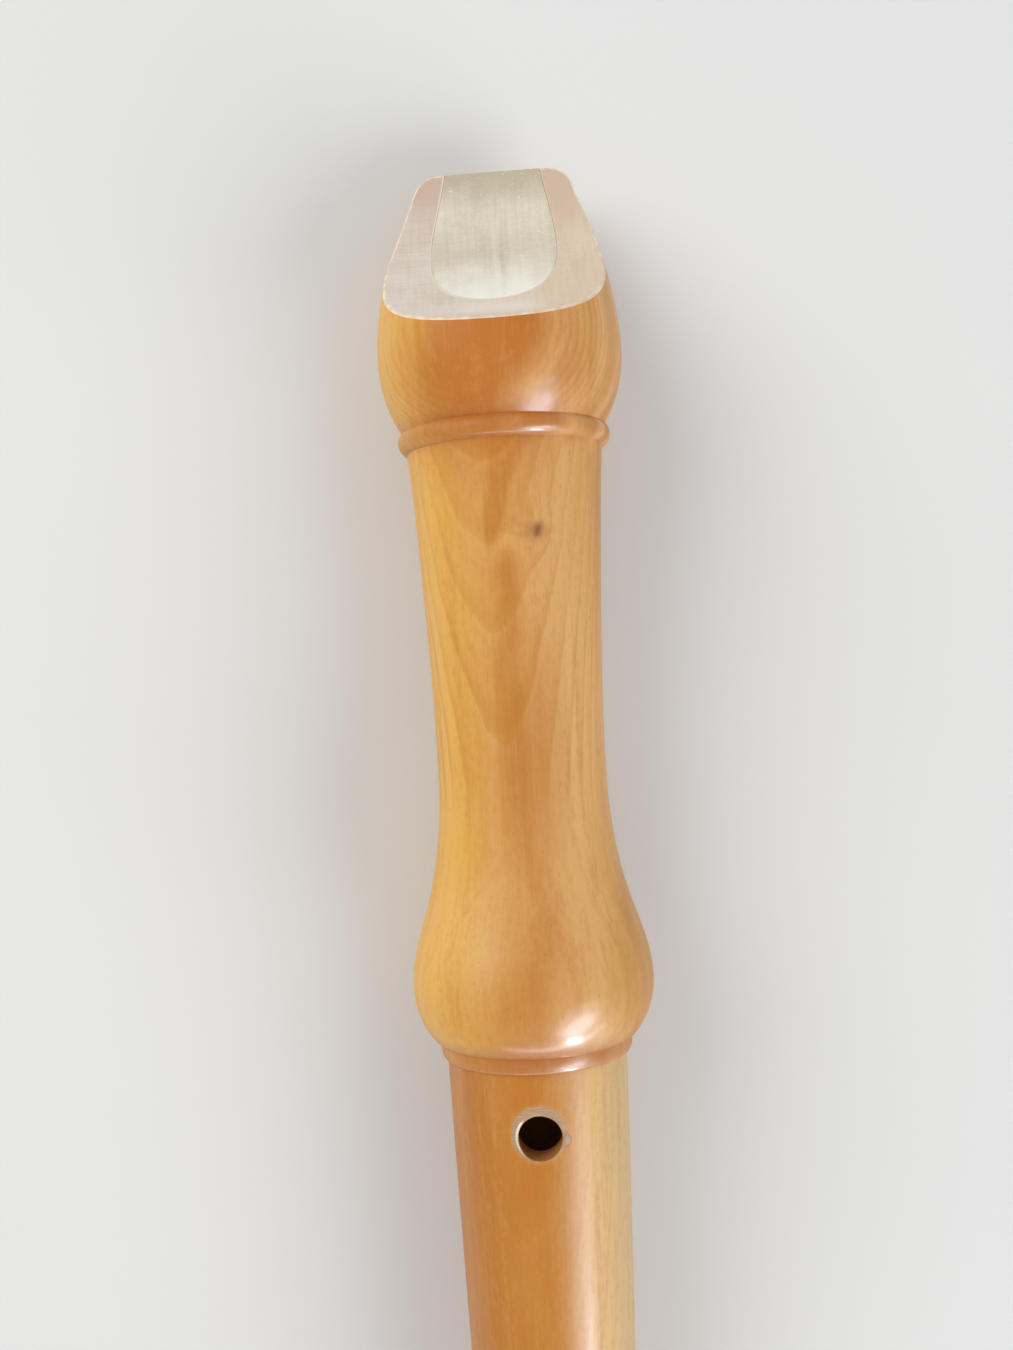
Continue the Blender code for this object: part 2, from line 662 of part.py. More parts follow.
def wood_outline_foot():
    """The foot joint's outer outline, from the socket end at height 0 down to the bell's end face."""
    band = end_band(FOOT_BAND_DEPTH, FOOT_BAND_RADIUS, FOOT_TOP_RADIUS)
    outline = [(-z, r) for z, r in reversed(band)]
    over = math.asin((FOOT_BULB_DEPTH - FOOT_BAND_DEPTH) / FOOT_BULB_TOP_HEIGHT)
    bulb = (-FOOT_BULB_DEPTH, FOOT_BULB_RADIUS)
    outline += quarter(
        bulb[0], bulb[1], FOOT_BULB_TOP_HEIGHT, FOOT_BULB_TOP_SINK, -over, 0.0, LONG_STRETCH
    )
    swell = (-FOOT_SWELL_DEPTH, FOOT_SWELL_RADIUS)
    waist = (-FOOT_WAIST_DEPTH, FOOT_WAIST_RADIUS)
    outline += blend(bulb, swell, 0.0, -FOOT_SWELL_SLOPE, SHORT_STRETCH)
    outline += blend(swell, waist, -FOOT_SWELL_SLOPE, 0.0, LONG_STRETCH)
    ring = bead(
        -FOOT_LENGTH + FOOT_RING_RISE,
        FOOT_RING_RADIUS - FOOT_RING_BEAD_RADIUS,
        FOOT_RING_BEAD_RADIUS,
        FOOT_FLARE_RADIUS,
        BELL_TOP_RADIUS,
        BEAD_POINTS,
    )
    outline += blend(waist, ring[0], 0.0, FOOT_FLARE_SLOPE, SHORT_STRETCH)
    outline += ring[1:]
    bell = (-FOOT_LENGTH + BELL_RISE, BELL_RADIUS)
    outline += blend(
        ring[-1], bell, (BELL_RADIUS - BELL_TOP_RADIUS) / BELL_RISE, 0.0, SHORT_STRETCH
    )
    outline += quarter(
        bell[0], bell[1], BELL_RISE, BELL_RADIUS - BELL_END_RADIUS, 0.0, math.pi / 2, SHORT_STRETCH
    )[1:]
    return outline


def foot_joint(collection, cutters, parent):
    """The foot joint: its socket in the upper bulb, the little finger's double hole, and the bell."""
    inner = [
        (-FOOT_LENGTH, FOOT_BORE_END_RADIUS + BORE_MOUTH_CHAMFER),
        (-FOOT_LENGTH + BORE_MOUTH_CHAMFER, FOOT_BORE_END_RADIUS),
        (-LOWER_SOCKET_DEPTH, FOOT_BORE_RADIUS),
        (-LOWER_SOCKET_DEPTH, LOWER_SOCKET_RADIUS),
        (-SOCKET_MOUTH_CHAMFER, LOWER_SOCKET_RADIUS),
        (0.0, LOWER_SOCKET_RADIUS + SOCKET_MOUTH_CHAMFER),
    ]
    foot = turned("foot_joint", wood_outline_foot(), inner, collection, parent, FOOT_TOP_Z)
    height = FOOT_TOP_Z - HOLE_7_BELOW_FOOT_TOP
    for turn, width, size in double_hole(
        HOLE_7_LARGE_WIDTH, HOLE_7_SMALL_WIDTH, FOOT_SWELL_RADIUS
    ):
        name = f"hole_7_{size}_cutter"
        turn += FOOT_TURN
        cut(foot, hole_cutter(name, height, width, turn, False, FOOT_BULB_RADIUS, cutters, parent))
    return foot


def finish(obj, material):
    """Turns an object's modifiers into its mesh, shades it smooth with sharp edges kept, and colours it."""
    graph = bpy.context.evaluated_depsgraph_get()
    mesh = bpy.data.meshes.new_from_object(obj.evaluated_get(graph))
    obj.modifiers.clear()
    obj.data = mesh
    mesh.name = obj.name
    mesh.materials.clear()
    mesh.materials.append(material)
    mesh.shade_smooth()
    mesh.set_sharp_from_angle(angle=SHARP_ANGLE)


def lay_down(frame):
    """Lays the instrument on its front, on the plane Z = 0, with its length centred on the origin."""
    frame.rotation_euler = (math.radians(-90), -LAID_TURN, 0.0)
    frame.location = (0.0, -(LOWEST_Z + HIGHEST_Z) / 2, LARGEST_RADIUS * math.cos(HALF_STEP))


def build():
    """Builds the whole recorder."""
    clear_scene()
    parts = new_collection("soprano_recorder")
    cutters = new_collection("cutters")
    frame = new_frame("upright_frame", parts)
    head_frame = new_frame("head_frame", parts)
    head_frame.parent = frame
    head_frame.location.z = SEAT_GAP
    head_frame.rotation_euler.z = -HEAD_TURN
    pear = new_material("varnished_pear_wood", PEAR_COLOUR, PEAR_ROUGHNESS)
    cedar = new_material("bare_cedar", CEDAR_COLOUR, CEDAR_ROUGHNESS)
    cork = new_material("cork", CORK_COLOUR, CORK_ROUGHNESS)
    beak = beak_cutter(cutters, head_frame)
    finished = [
        (head_joint(parts, cutters, head_frame, beak), pear),
        (block(parts, cutters, head_frame, beak), cedar),
        (middle_joint(parts, cutters, frame), pear),
        (foot_joint(parts, cutters, frame), pear),
        (
            cork_lapping(
                "upper_tenon_cork",
                UPPER_TENON_RADIUS,
                UPPER_CORK_START,
                UPPER_CORK_LENGTH,
                parts,
                frame,
                0.0,
                1,
            ),
            cork,
        ),
        (
            cork_lapping(
                "lower_tenon_cork",
                LOWER_TENON_RADIUS,
                LOWER_CORK_START,
                LOWER_CORK_LENGTH,
                parts,
                frame,
                -MIDDLE_LENGTH,
                -1,
            ),
            cork,
        ),
    ]
    lay_down(frame)
    bpy.context.view_layer.update()
    for obj, material in finished:
        finish(obj, material)


build()
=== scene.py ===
"""The finish of a wooden soprano recorder: fine turned surfaces, lacquered pear, bare cedar and cork.

Everything is in metres. Each turned piece is drawn upright, with +Z up the bore to the beak and -Y on the
thumb side, and is then laid down into the frame's own place.
"""

import math

import bmesh
import bpy
import numpy as np
from mathutils import Matrix, Vector


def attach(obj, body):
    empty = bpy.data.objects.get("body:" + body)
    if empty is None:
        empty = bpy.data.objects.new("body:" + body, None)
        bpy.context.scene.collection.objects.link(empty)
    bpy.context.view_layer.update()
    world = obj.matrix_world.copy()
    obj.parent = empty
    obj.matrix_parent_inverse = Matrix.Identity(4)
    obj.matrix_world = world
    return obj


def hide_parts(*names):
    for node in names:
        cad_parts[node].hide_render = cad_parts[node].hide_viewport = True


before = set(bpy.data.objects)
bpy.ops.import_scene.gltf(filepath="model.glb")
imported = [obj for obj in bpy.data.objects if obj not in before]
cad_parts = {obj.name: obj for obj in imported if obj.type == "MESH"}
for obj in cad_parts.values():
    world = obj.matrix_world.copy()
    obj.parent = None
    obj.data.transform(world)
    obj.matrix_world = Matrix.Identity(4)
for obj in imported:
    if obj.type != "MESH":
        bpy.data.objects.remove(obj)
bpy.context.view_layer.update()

# Sizes of the real instrument, as in the model
HEAD_LENGTH = 0.1194
MIDDLE_LENGTH = 0.1358
FOOT_LENGTH = 0.0715
HEAD_TURN = math.radians(2.4)
LAID_TURN = math.radians(1.6)
SEAT_GAP = 0.00015
BLOCK_GAP = 0.0001
BLOCK_END_GAP = 0.0001
CORK_GAP = 0.0001
CORK_SEAT_GAP = 0.00006
TENON_END_GAP = 0.0004

TIP_RADIUS = 0.0097
TIP_SIDE_RADIUS = 0.01228
TIP_SIDE_SLOPE = 0.19
TIP_ROUNDING = 0.0042
BEAK_SHOULDER_FROM_TIP = 0.0145
BEAK_SHOULDER_RADIUS = 0.01443
BEAK_SHOULDER_SLOPE = 0.225
BEAK_BULB_FROM_TIP = 0.0265
BEAK_BULB_RADIUS = 0.01628
BEAK_BULB_END_SLOPE = 0.62
RING_FROM_TIP = 0.0379
RING_BEAD_RADIUS = 0.0016
RING_RADIUS = 0.01416
RING_GROOVE_RADIUS = 0.01352
BARREL_TOP_RADIUS = 0.01306
BARREL_TOP_SLOPE = 0.11
BARREL_MID_FROM_TIP = 0.0506
BARREL_MID_RADIUS = 0.01226
BARREL_MID_SLOPE = 0.052
WAIST_RISE = 0.0385
WAIST_RADIUS = 0.01121
SWELL_RISE = 0.0208
SWELL_RADIUS = 0.01336
SWELL_SLOPE = 0.29
HEAD_BULB_RISE = 0.0097
HEAD_BULB_RADIUS = 0.01605
HEAD_BULB_UNDER_HEIGHT = 0.009
HEAD_BULB_UNDER_DEPTH = 0.0065
HEAD_BAND_RISE = 0.0023
HEAD_BAND_RADIUS = 0.01282
BAND_ROUNDED_SHARE = 0.82

HEAD_BORE_RADIUS = 0.0079
BLOCK_SEAT_STEP = 0.0003
BLOCK_SEAT_TIP_RADIUS = 0.00865
SOCKET_MOUTH_CHAMFER = 0.0004
BEAK_CUT_RADIUS = 0.034
BEAK_TIP_BELOW_AXIS = 0.0056
BEAK_HEEL_FROM_TIP = 0.0252
WINDOW_FROM_TIP = 0.0396
WINDOW_HEIGHT = 0.004
WINDOW_WIDTH = 0.0104
WINDWAY_ENTRY_WIDTH = 0.0116
WINDWAY_EXIT_FLOOR = 0.00715
WINDWAY_EXIT_HEIGHT = 0.0012
WINDWAY_ENTRY_RISE = 0.0006
WINDWAY_ENTRY_HEIGHT = 0.0015
WINDWAY_ARCH_RADIUS = 0.014
LABIUM_STEP = 0.0003
LABIUM_THICKNESS = 0.00025
RAMP_LENGTH = 0.0136
UNDERCUT_LENGTH = 0.007
UNDERCUT_DROP = 0.0011
BLOCK_CHAMFER = 0.0007

MIDDLE_TOP_RADIUS = 0.01195
MIDDLE_KNEE_DROP = 0.0405
MIDDLE_KNEE_RADIUS = 0.01092
MIDDLE_KNEE_SLOPE = 0.026
MIDDLE_TOP_SLOPE = 0.019
MIDDLE_BOTTOM_RADIUS = 0.0097
MIDDLE_BORE_TOP_RADIUS = 0.0074
MIDDLE_BORE_BOTTOM_RADIUS = 0.0054
HEAD_LIP = 0.0002
UPPER_TENON_LENGTH = 0.0196
UPPER_TENON_RADIUS = 0.0093
UPPER_CORK_START = 0.0028
UPPER_CORK_LENGTH = 0.0136
LOWER_TENON_LENGTH = 0.0146
LOWER_TENON_RADIUS = 0.0076
LOWER_CORK_START = 0.0022
LOWER_CORK_LENGTH = 0.0098
CORK_GROOVE_DEPTH = 0.0006
CORK_PROUD = 0.0003
CORK_EDGE = 0.0004
TENON_CHAMFER = 0.0006

THUMB_HOLE_SHARE = 0.0593
THUMB_HOLE_WIDTH = 0.0056
FRONT_HOLES = ((0.137, 0.0053), (0.288, 0.0058), (0.435, 0.0048), (0.6156, 0.0053), (0.7666, 0.0056))
HOLE_6_SHARE = 0.9175
HOLE_6_LARGE_WIDTH = 0.0044
HOLE_6_SMALL_WIDTH = 0.0036
HOLE_7_BELOW_FOOT_TOP = 0.0218
HOLE_7_LARGE_WIDTH = 0.0038
HOLE_7_SMALL_WIDTH = 0.0032
DOUBLE_HOLE_WEB = 0.0011
FOOT_TURN = math.radians(14)
HOLE_UNDERCUT = 1.16

FOOT_LIP = 0.0021
FOOT_BAND_DEPTH = 0.0022
FOOT_BAND_RADIUS = 0.0126
FOOT_BULB_DEPTH = 0.0093
FOOT_BULB_RADIUS = 0.0158
FOOT_BULB_TOP_HEIGHT = 0.0084
FOOT_BULB_TOP_SINK = 0.0062
FOOT_SWELL_DEPTH = 0.0196
FOOT_SWELL_RADIUS = 0.01285
FOOT_SWELL_SLOPE = 0.27
FOOT_WAIST_DEPTH = 0.0415
FOOT_WAIST_RADIUS = 0.01045
FOOT_RING_RISE = 0.0118
FOOT_RING_BEAD_RADIUS = 0.0013
FOOT_RING_RADIUS = 0.01285
FOOT_FLARE_RADIUS = 0.01186
FOOT_FLARE_SLOPE = 0.16
BELL_TOP_RADIUS = 0.01215
BELL_RISE = 0.0056
BELL_RADIUS = 0.01365
BELL_END_RADIUS = 0.01235
FOOT_BORE_RADIUS = 0.0052
FOOT_BORE_END_RADIUS = 0.0051
BORE_MOUTH_CHAMFER = 0.0005

# The model's turned solids have this many flat sides, and the fine surface touches the middle of each
MODEL_SIDES = 44
INSCRIBED = math.cos(math.pi / MODEL_SIDES)

# Fineness of the surfaces
AROUND = 192
LONG = 22
SHORT = 12
BEAD = 20
HOLE_SIDES = 72
REACH = 0.004
BEAK_COLUMNS = 224
BEAK_ROWS = 64
CUT_ROWS = 24
EDGE_STEPS = 5
EDGE_SEARCH = 1440
OUTLINE_STEP = 0.0001

# Softened edges, as sanding and thumbs leave them
BEAK_EDGE = 0.0003
BLOCK_EDGE = 0.0001
BLOCK_END_EDGE = 0.0003
BLOCK_FIT = 0.00001
HOLE_RIM = 0.00022
THUMB_RIM = 0.00055
THUMB_WEAR_TURN = math.radians(120)
RIM_ANGLE = math.radians(75)
RIM_STEPS = 6
RIM_CLEAR = 0.00004
SHOULDER_EASE = 0.00004
SHOULDER_LIFT = 0.00012
SHARP_ANGLE = math.radians(32)

# The finishes of a wooden piece, in the order of its materials
TURNED = 0
BARE = 1
INSIDE = 2
# the beak's softened edge: rubbed wear with a painted highlight
RUBBED_HIGHLIT = 3

UPPER_SOCKET_RADIUS = UPPER_TENON_RADIUS + CORK_PROUD + CORK_GAP
LOWER_SOCKET_RADIUS = LOWER_TENON_RADIUS + CORK_PROUD + CORK_GAP
UPPER_SOCKET_DEPTH = UPPER_TENON_LENGTH + TENON_END_GAP
LOWER_SOCKET_DEPTH = LOWER_TENON_LENGTH + TENON_END_GAP
HEAD_END_RADIUS = MIDDLE_TOP_RADIUS + HEAD_LIP
FOOT_TOP_RADIUS = MIDDLE_BOTTOM_RADIUS + FOOT_LIP
WINDOW_RISE = HEAD_LENGTH - WINDOW_FROM_TIP
LABIUM_RISE = WINDOW_RISE - WINDOW_HEIGHT
BLOCK_SEAT_RADIUS = HEAD_BORE_RADIUS + BLOCK_SEAT_STEP
FOOT_TOP_Z = -MIDDLE_LENGTH - SEAT_GAP
LOWEST_Z = FOOT_TOP_Z - FOOT_LENGTH
HIGHEST_Z = SEAT_GAP + HEAD_LENGTH
AXIS_HEIGHT = max(BEAK_BULB_RADIUS, HEAD_BULB_RADIUS, FOOT_BULB_RADIUS) * INSCRIBED
ALONG_SHIFT = -(LOWEST_Z + HIGHEST_Z) / 2

LYING = Matrix.Rotation(math.radians(-90), 4, "X") @ Matrix.Rotation(-LAID_TURN, 4, "Z")
LAID_DOWN = Matrix.Translation((0.0, ALONG_SHIFT, AXIS_HEIGHT)) @ LYING
HEAD_PLACE = LAID_DOWN @ Matrix.Translation((0.0, 0.0, SEAT_GAP)) @ Matrix.Rotation(-HEAD_TURN, 4, "Z")
FOOT_PLACE = LAID_DOWN @ Matrix.Translation((0.0, 0.0, FOOT_TOP_Z))


# Outlines of the turned pieces

def blend(start, end, start_slope, end_slope, points):
    """Points of a smooth stretch between two (height, radius) stations, leaving out the first one."""
    (z0, r0), (z1, r1) = start, end
    fall = z0 - z1
    made = []
    for i in range(1, points + 1):
        u = i / points
        radius = (
            (2 * u**3 - 3 * u**2 + 1) * r0
            + (u**3 - 2 * u**2 + u) * fall * start_slope
            + (3 * u**2 - 2 * u**3) * r1
            + (u**3 - u**2) * fall * end_slope
        )
        made.append((z0 - fall * u, radius))
    return made


def bead(height, centre_radius, bead_radius, above, below, points):
    """Points of a round bead between the radii of its neighbours above and below."""
    start = math.asin((above - centre_radius) / bead_radius)
    end = math.pi - math.asin((below - centre_radius) / bead_radius)
    made = []
    for i in range(points + 1):
        angle = start + (end - start) * i / points
        made.append((height + bead_radius * math.cos(angle), centre_radius + bead_radius * math.sin(angle)))
    return made


def quarter(height, radius, tall, deep, start, end, points):
    """Points of an elliptical stretch round a widest place, between two angles from that place."""
    made = []
    for i in range(points + 1):
        angle = start + (end - start) * i / points
        made.append((height - tall * math.sin(angle), radius - deep * (1 - math.cos(angle))))
    return made


def end_band(rise, radius, end_radius):
    """The narrow rounded band at a joint's socket end, down to its end face at height 0."""
    flat = rise * BAND_ROUNDED_SHARE
    drop = radius - end_radius
    made = [(rise - (rise - flat) / 2, radius)]
    for i in range(SHORT):
        angle = math.pi / 2 * i / (SHORT - 1)
        made.append((flat * (1 - math.sin(angle)), radius - drop * (1 - math.cos(angle))))
    return made


def head_outline():
    """The head joint's outside, from the beak's tip down to the socket's end face."""
    top = HEAD_LENGTH
    side = TIP_SIDE_RADIUS - TIP_RADIUS
    outline = [(top, TIP_RADIUS)]
    for i in range(1, SHORT):
        angle = math.pi / 2 * i / SHORT
        outline.append((top - TIP_ROUNDING * (1 - math.cos(angle)), TIP_RADIUS + side * math.sin(angle)))
    side_end = (top - TIP_ROUNDING, TIP_SIDE_RADIUS)
    shoulder = (top - BEAK_SHOULDER_FROM_TIP, BEAK_SHOULDER_RADIUS)
    bulb = (top - BEAK_BULB_FROM_TIP, BEAK_BULB_RADIUS)
    outline.append(side_end)
    outline += blend(side_end, shoulder, TIP_SIDE_SLOPE, BEAK_SHOULDER_SLOPE, SHORT)
    outline += blend(shoulder, bulb, BEAK_SHOULDER_SLOPE, 0.0, SHORT)
    ring = bead(
        top - RING_FROM_TIP,
        RING_RADIUS - RING_BEAD_RADIUS,
        RING_BEAD_RADIUS,
        RING_GROOVE_RADIUS,
        BARREL_TOP_RADIUS,
        BEAD,
    )
    outline += blend(bulb, ring[0], 0.0, -BEAK_BULB_END_SLOPE, LONG)
    outline += ring[1:]
    barrel_mid = (top - BARREL_MID_FROM_TIP, BARREL_MID_RADIUS)
    waist = (WAIST_RISE, WAIST_RADIUS)
    swell = (SWELL_RISE, SWELL_RADIUS)
    lower_bulb = (HEAD_BULB_RISE, HEAD_BULB_RADIUS)
    outline += blend(ring[-1], barrel_mid, -BARREL_TOP_SLOPE, -BARREL_MID_SLOPE, SHORT)
    outline += blend(barrel_mid, waist, -BARREL_MID_SLOPE, 0.0, LONG)
    outline += blend(waist, swell, 0.0, SWELL_SLOPE, LONG)
    outline += blend(swell, lower_bulb, SWELL_SLOPE, 0.0, LONG)
    under = math.asin((HEAD_BULB_RISE - HEAD_BAND_RISE) / HEAD_BULB_UNDER_HEIGHT)
    outline += quarter(
        HEAD_BULB_RISE,
        HEAD_BULB_RADIUS,
        HEAD_BULB_UNDER_HEIGHT,
        HEAD_BULB_UNDER_DEPTH,
        0.0,
        under,
        LONG,
    )[1:]
    return outline + end_band(HEAD_BAND_RISE, HEAD_BAND_RADIUS, HEAD_END_RADIUS)


def foot_outline():
    """The foot joint's outside, from its socket's end face at height 0 down to the bell's end."""
    band = end_band(FOOT_BAND_DEPTH, FOOT_BAND_RADIUS, FOOT_TOP_RADIUS)
    outline = [(-z, r) for z, r in reversed(band)]
    over = math.asin((FOOT_BULB_DEPTH - FOOT_BAND_DEPTH) / FOOT_BULB_TOP_HEIGHT)
    bulb = (-FOOT_BULB_DEPTH, FOOT_BULB_RADIUS)
    outline += quarter(bulb[0], bulb[1], FOOT_BULB_TOP_HEIGHT, FOOT_BULB_TOP_SINK, -over, 0.0, LONG)
    swell = (-FOOT_SWELL_DEPTH, FOOT_SWELL_RADIUS)
    waist = (-FOOT_WAIST_DEPTH, FOOT_WAIST_RADIUS)
    outline += blend(bulb, swell, 0.0, -FOOT_SWELL_SLOPE, LONG)
    outline += blend(swell, waist, -FOOT_SWELL_SLOPE, 0.0, LONG)
    ring = bead(
        -FOOT_LENGTH + FOOT_RING_RISE,
        FOOT_RING_RADIUS - FOOT_RING_BEAD_RADIUS,
        FOOT_RING_BEAD_RADIUS,
        FOOT_FLARE_RADIUS,
        BELL_TOP_RADIUS,
        BEAD,
    )
    outline += blend(waist, ring[0], 0.0, FOOT_FLARE_SLOPE, LONG)
    outline += ring[1:]
    bell = (-FOOT_LENGTH + BELL_RISE, BELL_RADIUS)
    outline += blend(ring[-1], bell, (BELL_RADIUS - BELL_TOP_RADIUS) / BELL_RISE, 0.0, SHORT)
    return outline + quarter(
        bell[0], bell[1], BELL_RISE, BELL_RADIUS - BELL_END_RADIUS, 0.0, math.pi / 2, SHORT
    )[1:]


def tenon_outline(length, radius, cork_start, cork_length):
    """A tenon's outside from its end down to the shoulder, with the cork's groove."""
    floor = radius - CORK_GROOVE_DEPTH
    return [
        (length, radius - TENON_CHAMFER),
        (length - TENON_CHAMFER, radius),
        (cork_start + cork_length, radius),
        (cork_start + cork_length, floor),
        (cork_start, floor),
        (cork_start, radius),
        (0.0, radius),
    ]


# Making and cutting solids

def ring_points(radius, height, count):
    """Points evenly round the bore's axis, the first one at the back."""
    made = []
    for i in range(count):
        angle = 2 * math.pi * i / count - math.pi
        made.append((radius * math.sin(angle), -radius * math.cos(angle), height))
    return made


def joined_rings(name, rings, finishes, closed):
    """A mesh through rings of points: closed on itself as a tube is, or with a lid at each end."""
    mesh = bpy.data.meshes.new(name)
    shape = bmesh.new()
    rows = [[shape.verts.new(point) for point in ring] for ring in rings]
    pairs = list(zip(rows, rows[1:], finishes[1:]))
    if closed:
        pairs.append((rows[-1], rows[0], finishes[0]))
    for above, below, finish in pairs:
        count = max(len(above), len(below))
        for i in range(count):
            j = (i + 1) % count
            corners = [above[i % len(above)], below[i % len(below)], below[j % len(below)], above[j % len(above)]]
            face = shape.faces.new(list(dict.fromkeys(corners)))
            face.material_index = finish
    if not closed:
        for row, finish in ((rows[0], finishes[1]), (rows[-1], finishes[-1])):
            if len(row) > 1:
                shape.faces.new(row).material_index = finish
    bmesh.ops.recalc_face_normals(shape, faces=shape.faces)
    shape.to_mesh(mesh)
    shape.free()
    return mesh


def turned_mesh(name, stretches, count=AROUND, closed=True):
    """A turned solid from stretches of (outline, finish) that run down its outside and back up its inside."""
    rings = []
    finishes = []
    for outline, finish in stretches:
        for z, r in outline:
            rings.append(ring_points(r * INSCRIBED, z, count))
            finishes.append(finish)
    return joined_rings(name, rings, finishes, closed)


def loft_mesh(name, lower, upper, finish):
    """A closed shape between two sections, each a list of points, with as many points in both."""
    count = len(lower)
    sides = [(i, (i + 1) % count, count + (i + 1) % count, count + i) for i in range(count)]
    mesh = bpy.data.meshes.new(name)
    mesh.from_pydata(lower + upper, [], [tuple(reversed(range(count))), tuple(range(count, 2 * count))] + sides)
    for face in mesh.polygons:
        face.material_index = finish
    return mesh


def arched_section(width, floor, crown, height, roof=True, arch_points=24):
    """A section between a flat level and an arch whose middle is at the crown."""
    half = width / 2
    arch = []
    for i in range(arch_points + 1):
        x = half - width * i / arch_points
        arch.append((x, crown - WINDWAY_ARCH_RADIUS + math.sqrt(WINDWAY_ARCH_RADIUS**2 - x**2), height))
    if roof:
        return [(-half, floor, height), (half, floor, height)] + arch
    return [(half, floor, height), (-half, floor, height)] + arch[::-1]


def carved(name, mesh, cutters, place, materials):
    """Takes each cutter out of a solid, gives the cut its finish and lays the result in its place."""
    body = bpy.data.objects.new(name, mesh)
    bpy.context.scene.collection.objects.link(body)
    for material in materials:
        mesh.materials.append(material)
    helpers = []
    for cutter in cutters:
        for material in materials:
            cutter.materials.append(material)
        helper = bpy.data.objects.new(name + "_cutter", cutter)
        bpy.context.scene.collection.objects.link(helper)
        helpers.append(helper)
        boolean = body.modifiers.new("Cut", "BOOLEAN")
        boolean.operation = "DIFFERENCE"
        boolean.solver = "EXACT"
        boolean.object = helper
    bpy.context.view_layer.update()
    graph = bpy.context.evaluated_depsgraph_get()
    result = bpy.data.meshes.new_from_object(body.evaluated_get(graph))
    body.modifiers.clear()
    body.data = result
    for helper in helpers:
        bpy.data.objects.remove(helper)
    result.name = name
    result.transform(place)
    result.shade_smooth()
    result.set_sharp_from_angle(angle=SHARP_ANGLE)
    return body


def radius_at(outline, height):
    """The radius of an outline that runs from its top down, at a height."""
    heights = [z for z, r in reversed(outline)]
    radii = [r for z, r in reversed(outline)]
    return float(np.interp(height, heights, radii)) * INSCRIBED


# The beak, whose hollow cut meets the turned outside in a softened edge

class BeakCut:
    """The hollow arc cut off the beak's back, a cylinder lying across it."""

    def __init__(self):
        tip = (HEAD_LENGTH, -BEAK_TIP_BELOW_AXIS)
        heel = (HEAD_LENGTH - BEAK_HEEL_FROM_TIP, BEAK_BULB_RADIUS)
        along, up = heel[0] - tip[0], heel[1] - tip[1]
        chord = math.hypot(along, up)
        sink = math.sqrt(BEAK_CUT_RADIUS**2 - (chord / 2) ** 2)
        self.height = (tip[0] + heel[0]) / 2 + sink * up / chord
        self.back = (tip[1] + heel[1]) / 2 - sink * along / chord

    def takes(self, y, z):
        """How far inside the cut a point lies, below 0 where the wood stays."""
        return BEAK_CUT_RADIUS - math.hypot(y + self.back, z - self.height)

    def along(self, y, z):
        """How far round the arc a point of the cut lies."""
        return BEAK_CUT_RADIUS * math.atan2(z - self.height, y + self.back)

    def point(self, x, t):
        """The point of the cut at x across and t round the arc."""
        angle = t / BEAK_CUT_RADIUS
        return Vector((
            x,
            BEAK_CUT_RADIUS * math.cos(angle) - self.back,
            BEAK_CUT_RADIUS * math.sin(angle) + self.height,
        ))


class BeakedOutline:
    """A turned outline from the middle of the beak's end face outwards and down, by its own length."""

    def __init__(self, outline, cut):
        self.cut = cut
        heights = np.array([z for z, r in outline])
        radii = np.array([r * INSCRIBED for z, r in outline])
        lengths = np.concatenate(([0.0], np.cumsum(np.hypot(np.diff(heights), np.diff(radii)))))
        self.lengths = np.union1d(lengths, np.arange(0.0, lengths[-1], OUTLINE_STEP))
        self.heights = np.interp(self.lengths, lengths, heights)
        self.radii = np.interp(self.lengths, lengths, radii)

    def at(self, s):
        """The (height, radius) at a length along the outline."""
        return float(np.interp(s, self.lengths, self.heights)), float(np.interp(s, self.lengths, self.radii))

    def point(self, angle, s):
        """The point at an angle from the back and a length along the outline."""
        z, r = self.at(s)
        return Vector((r * math.sin(angle), -r * math.cos(angle), z))

    def edge(self, angle):
        """How far along the outline the cut's edge lies at an angle from the back."""
        y = -self.radii * math.cos(angle)
        depth = BEAK_CUT_RADIUS - np.hypot(y + self.cut.back, self.heights - self.cut.height)
        i = int(np.argmax(depth < 0))
        share = depth[i - 1] / (depth[i - 1] - depth[i])
        return float(self.lengths[i - 1] + share * (self.lengths[i] - self.lengths[i - 1]))

    def edge_angles(self, count):
        """Angles at which the cut's edge is stepped evenly along its length."""
        angles = np.linspace(-math.pi, math.pi, EDGE_SEARCH + 1)
        points = [self.point(a, self.edge(a)) for a in angles]
        steps = [0.0] + [(b - a).length for a, b in zip(points, points[1:])]
        length = np.cumsum(steps)
        return np.interp(np.arange(count) * length[-1] / count, length, angles)


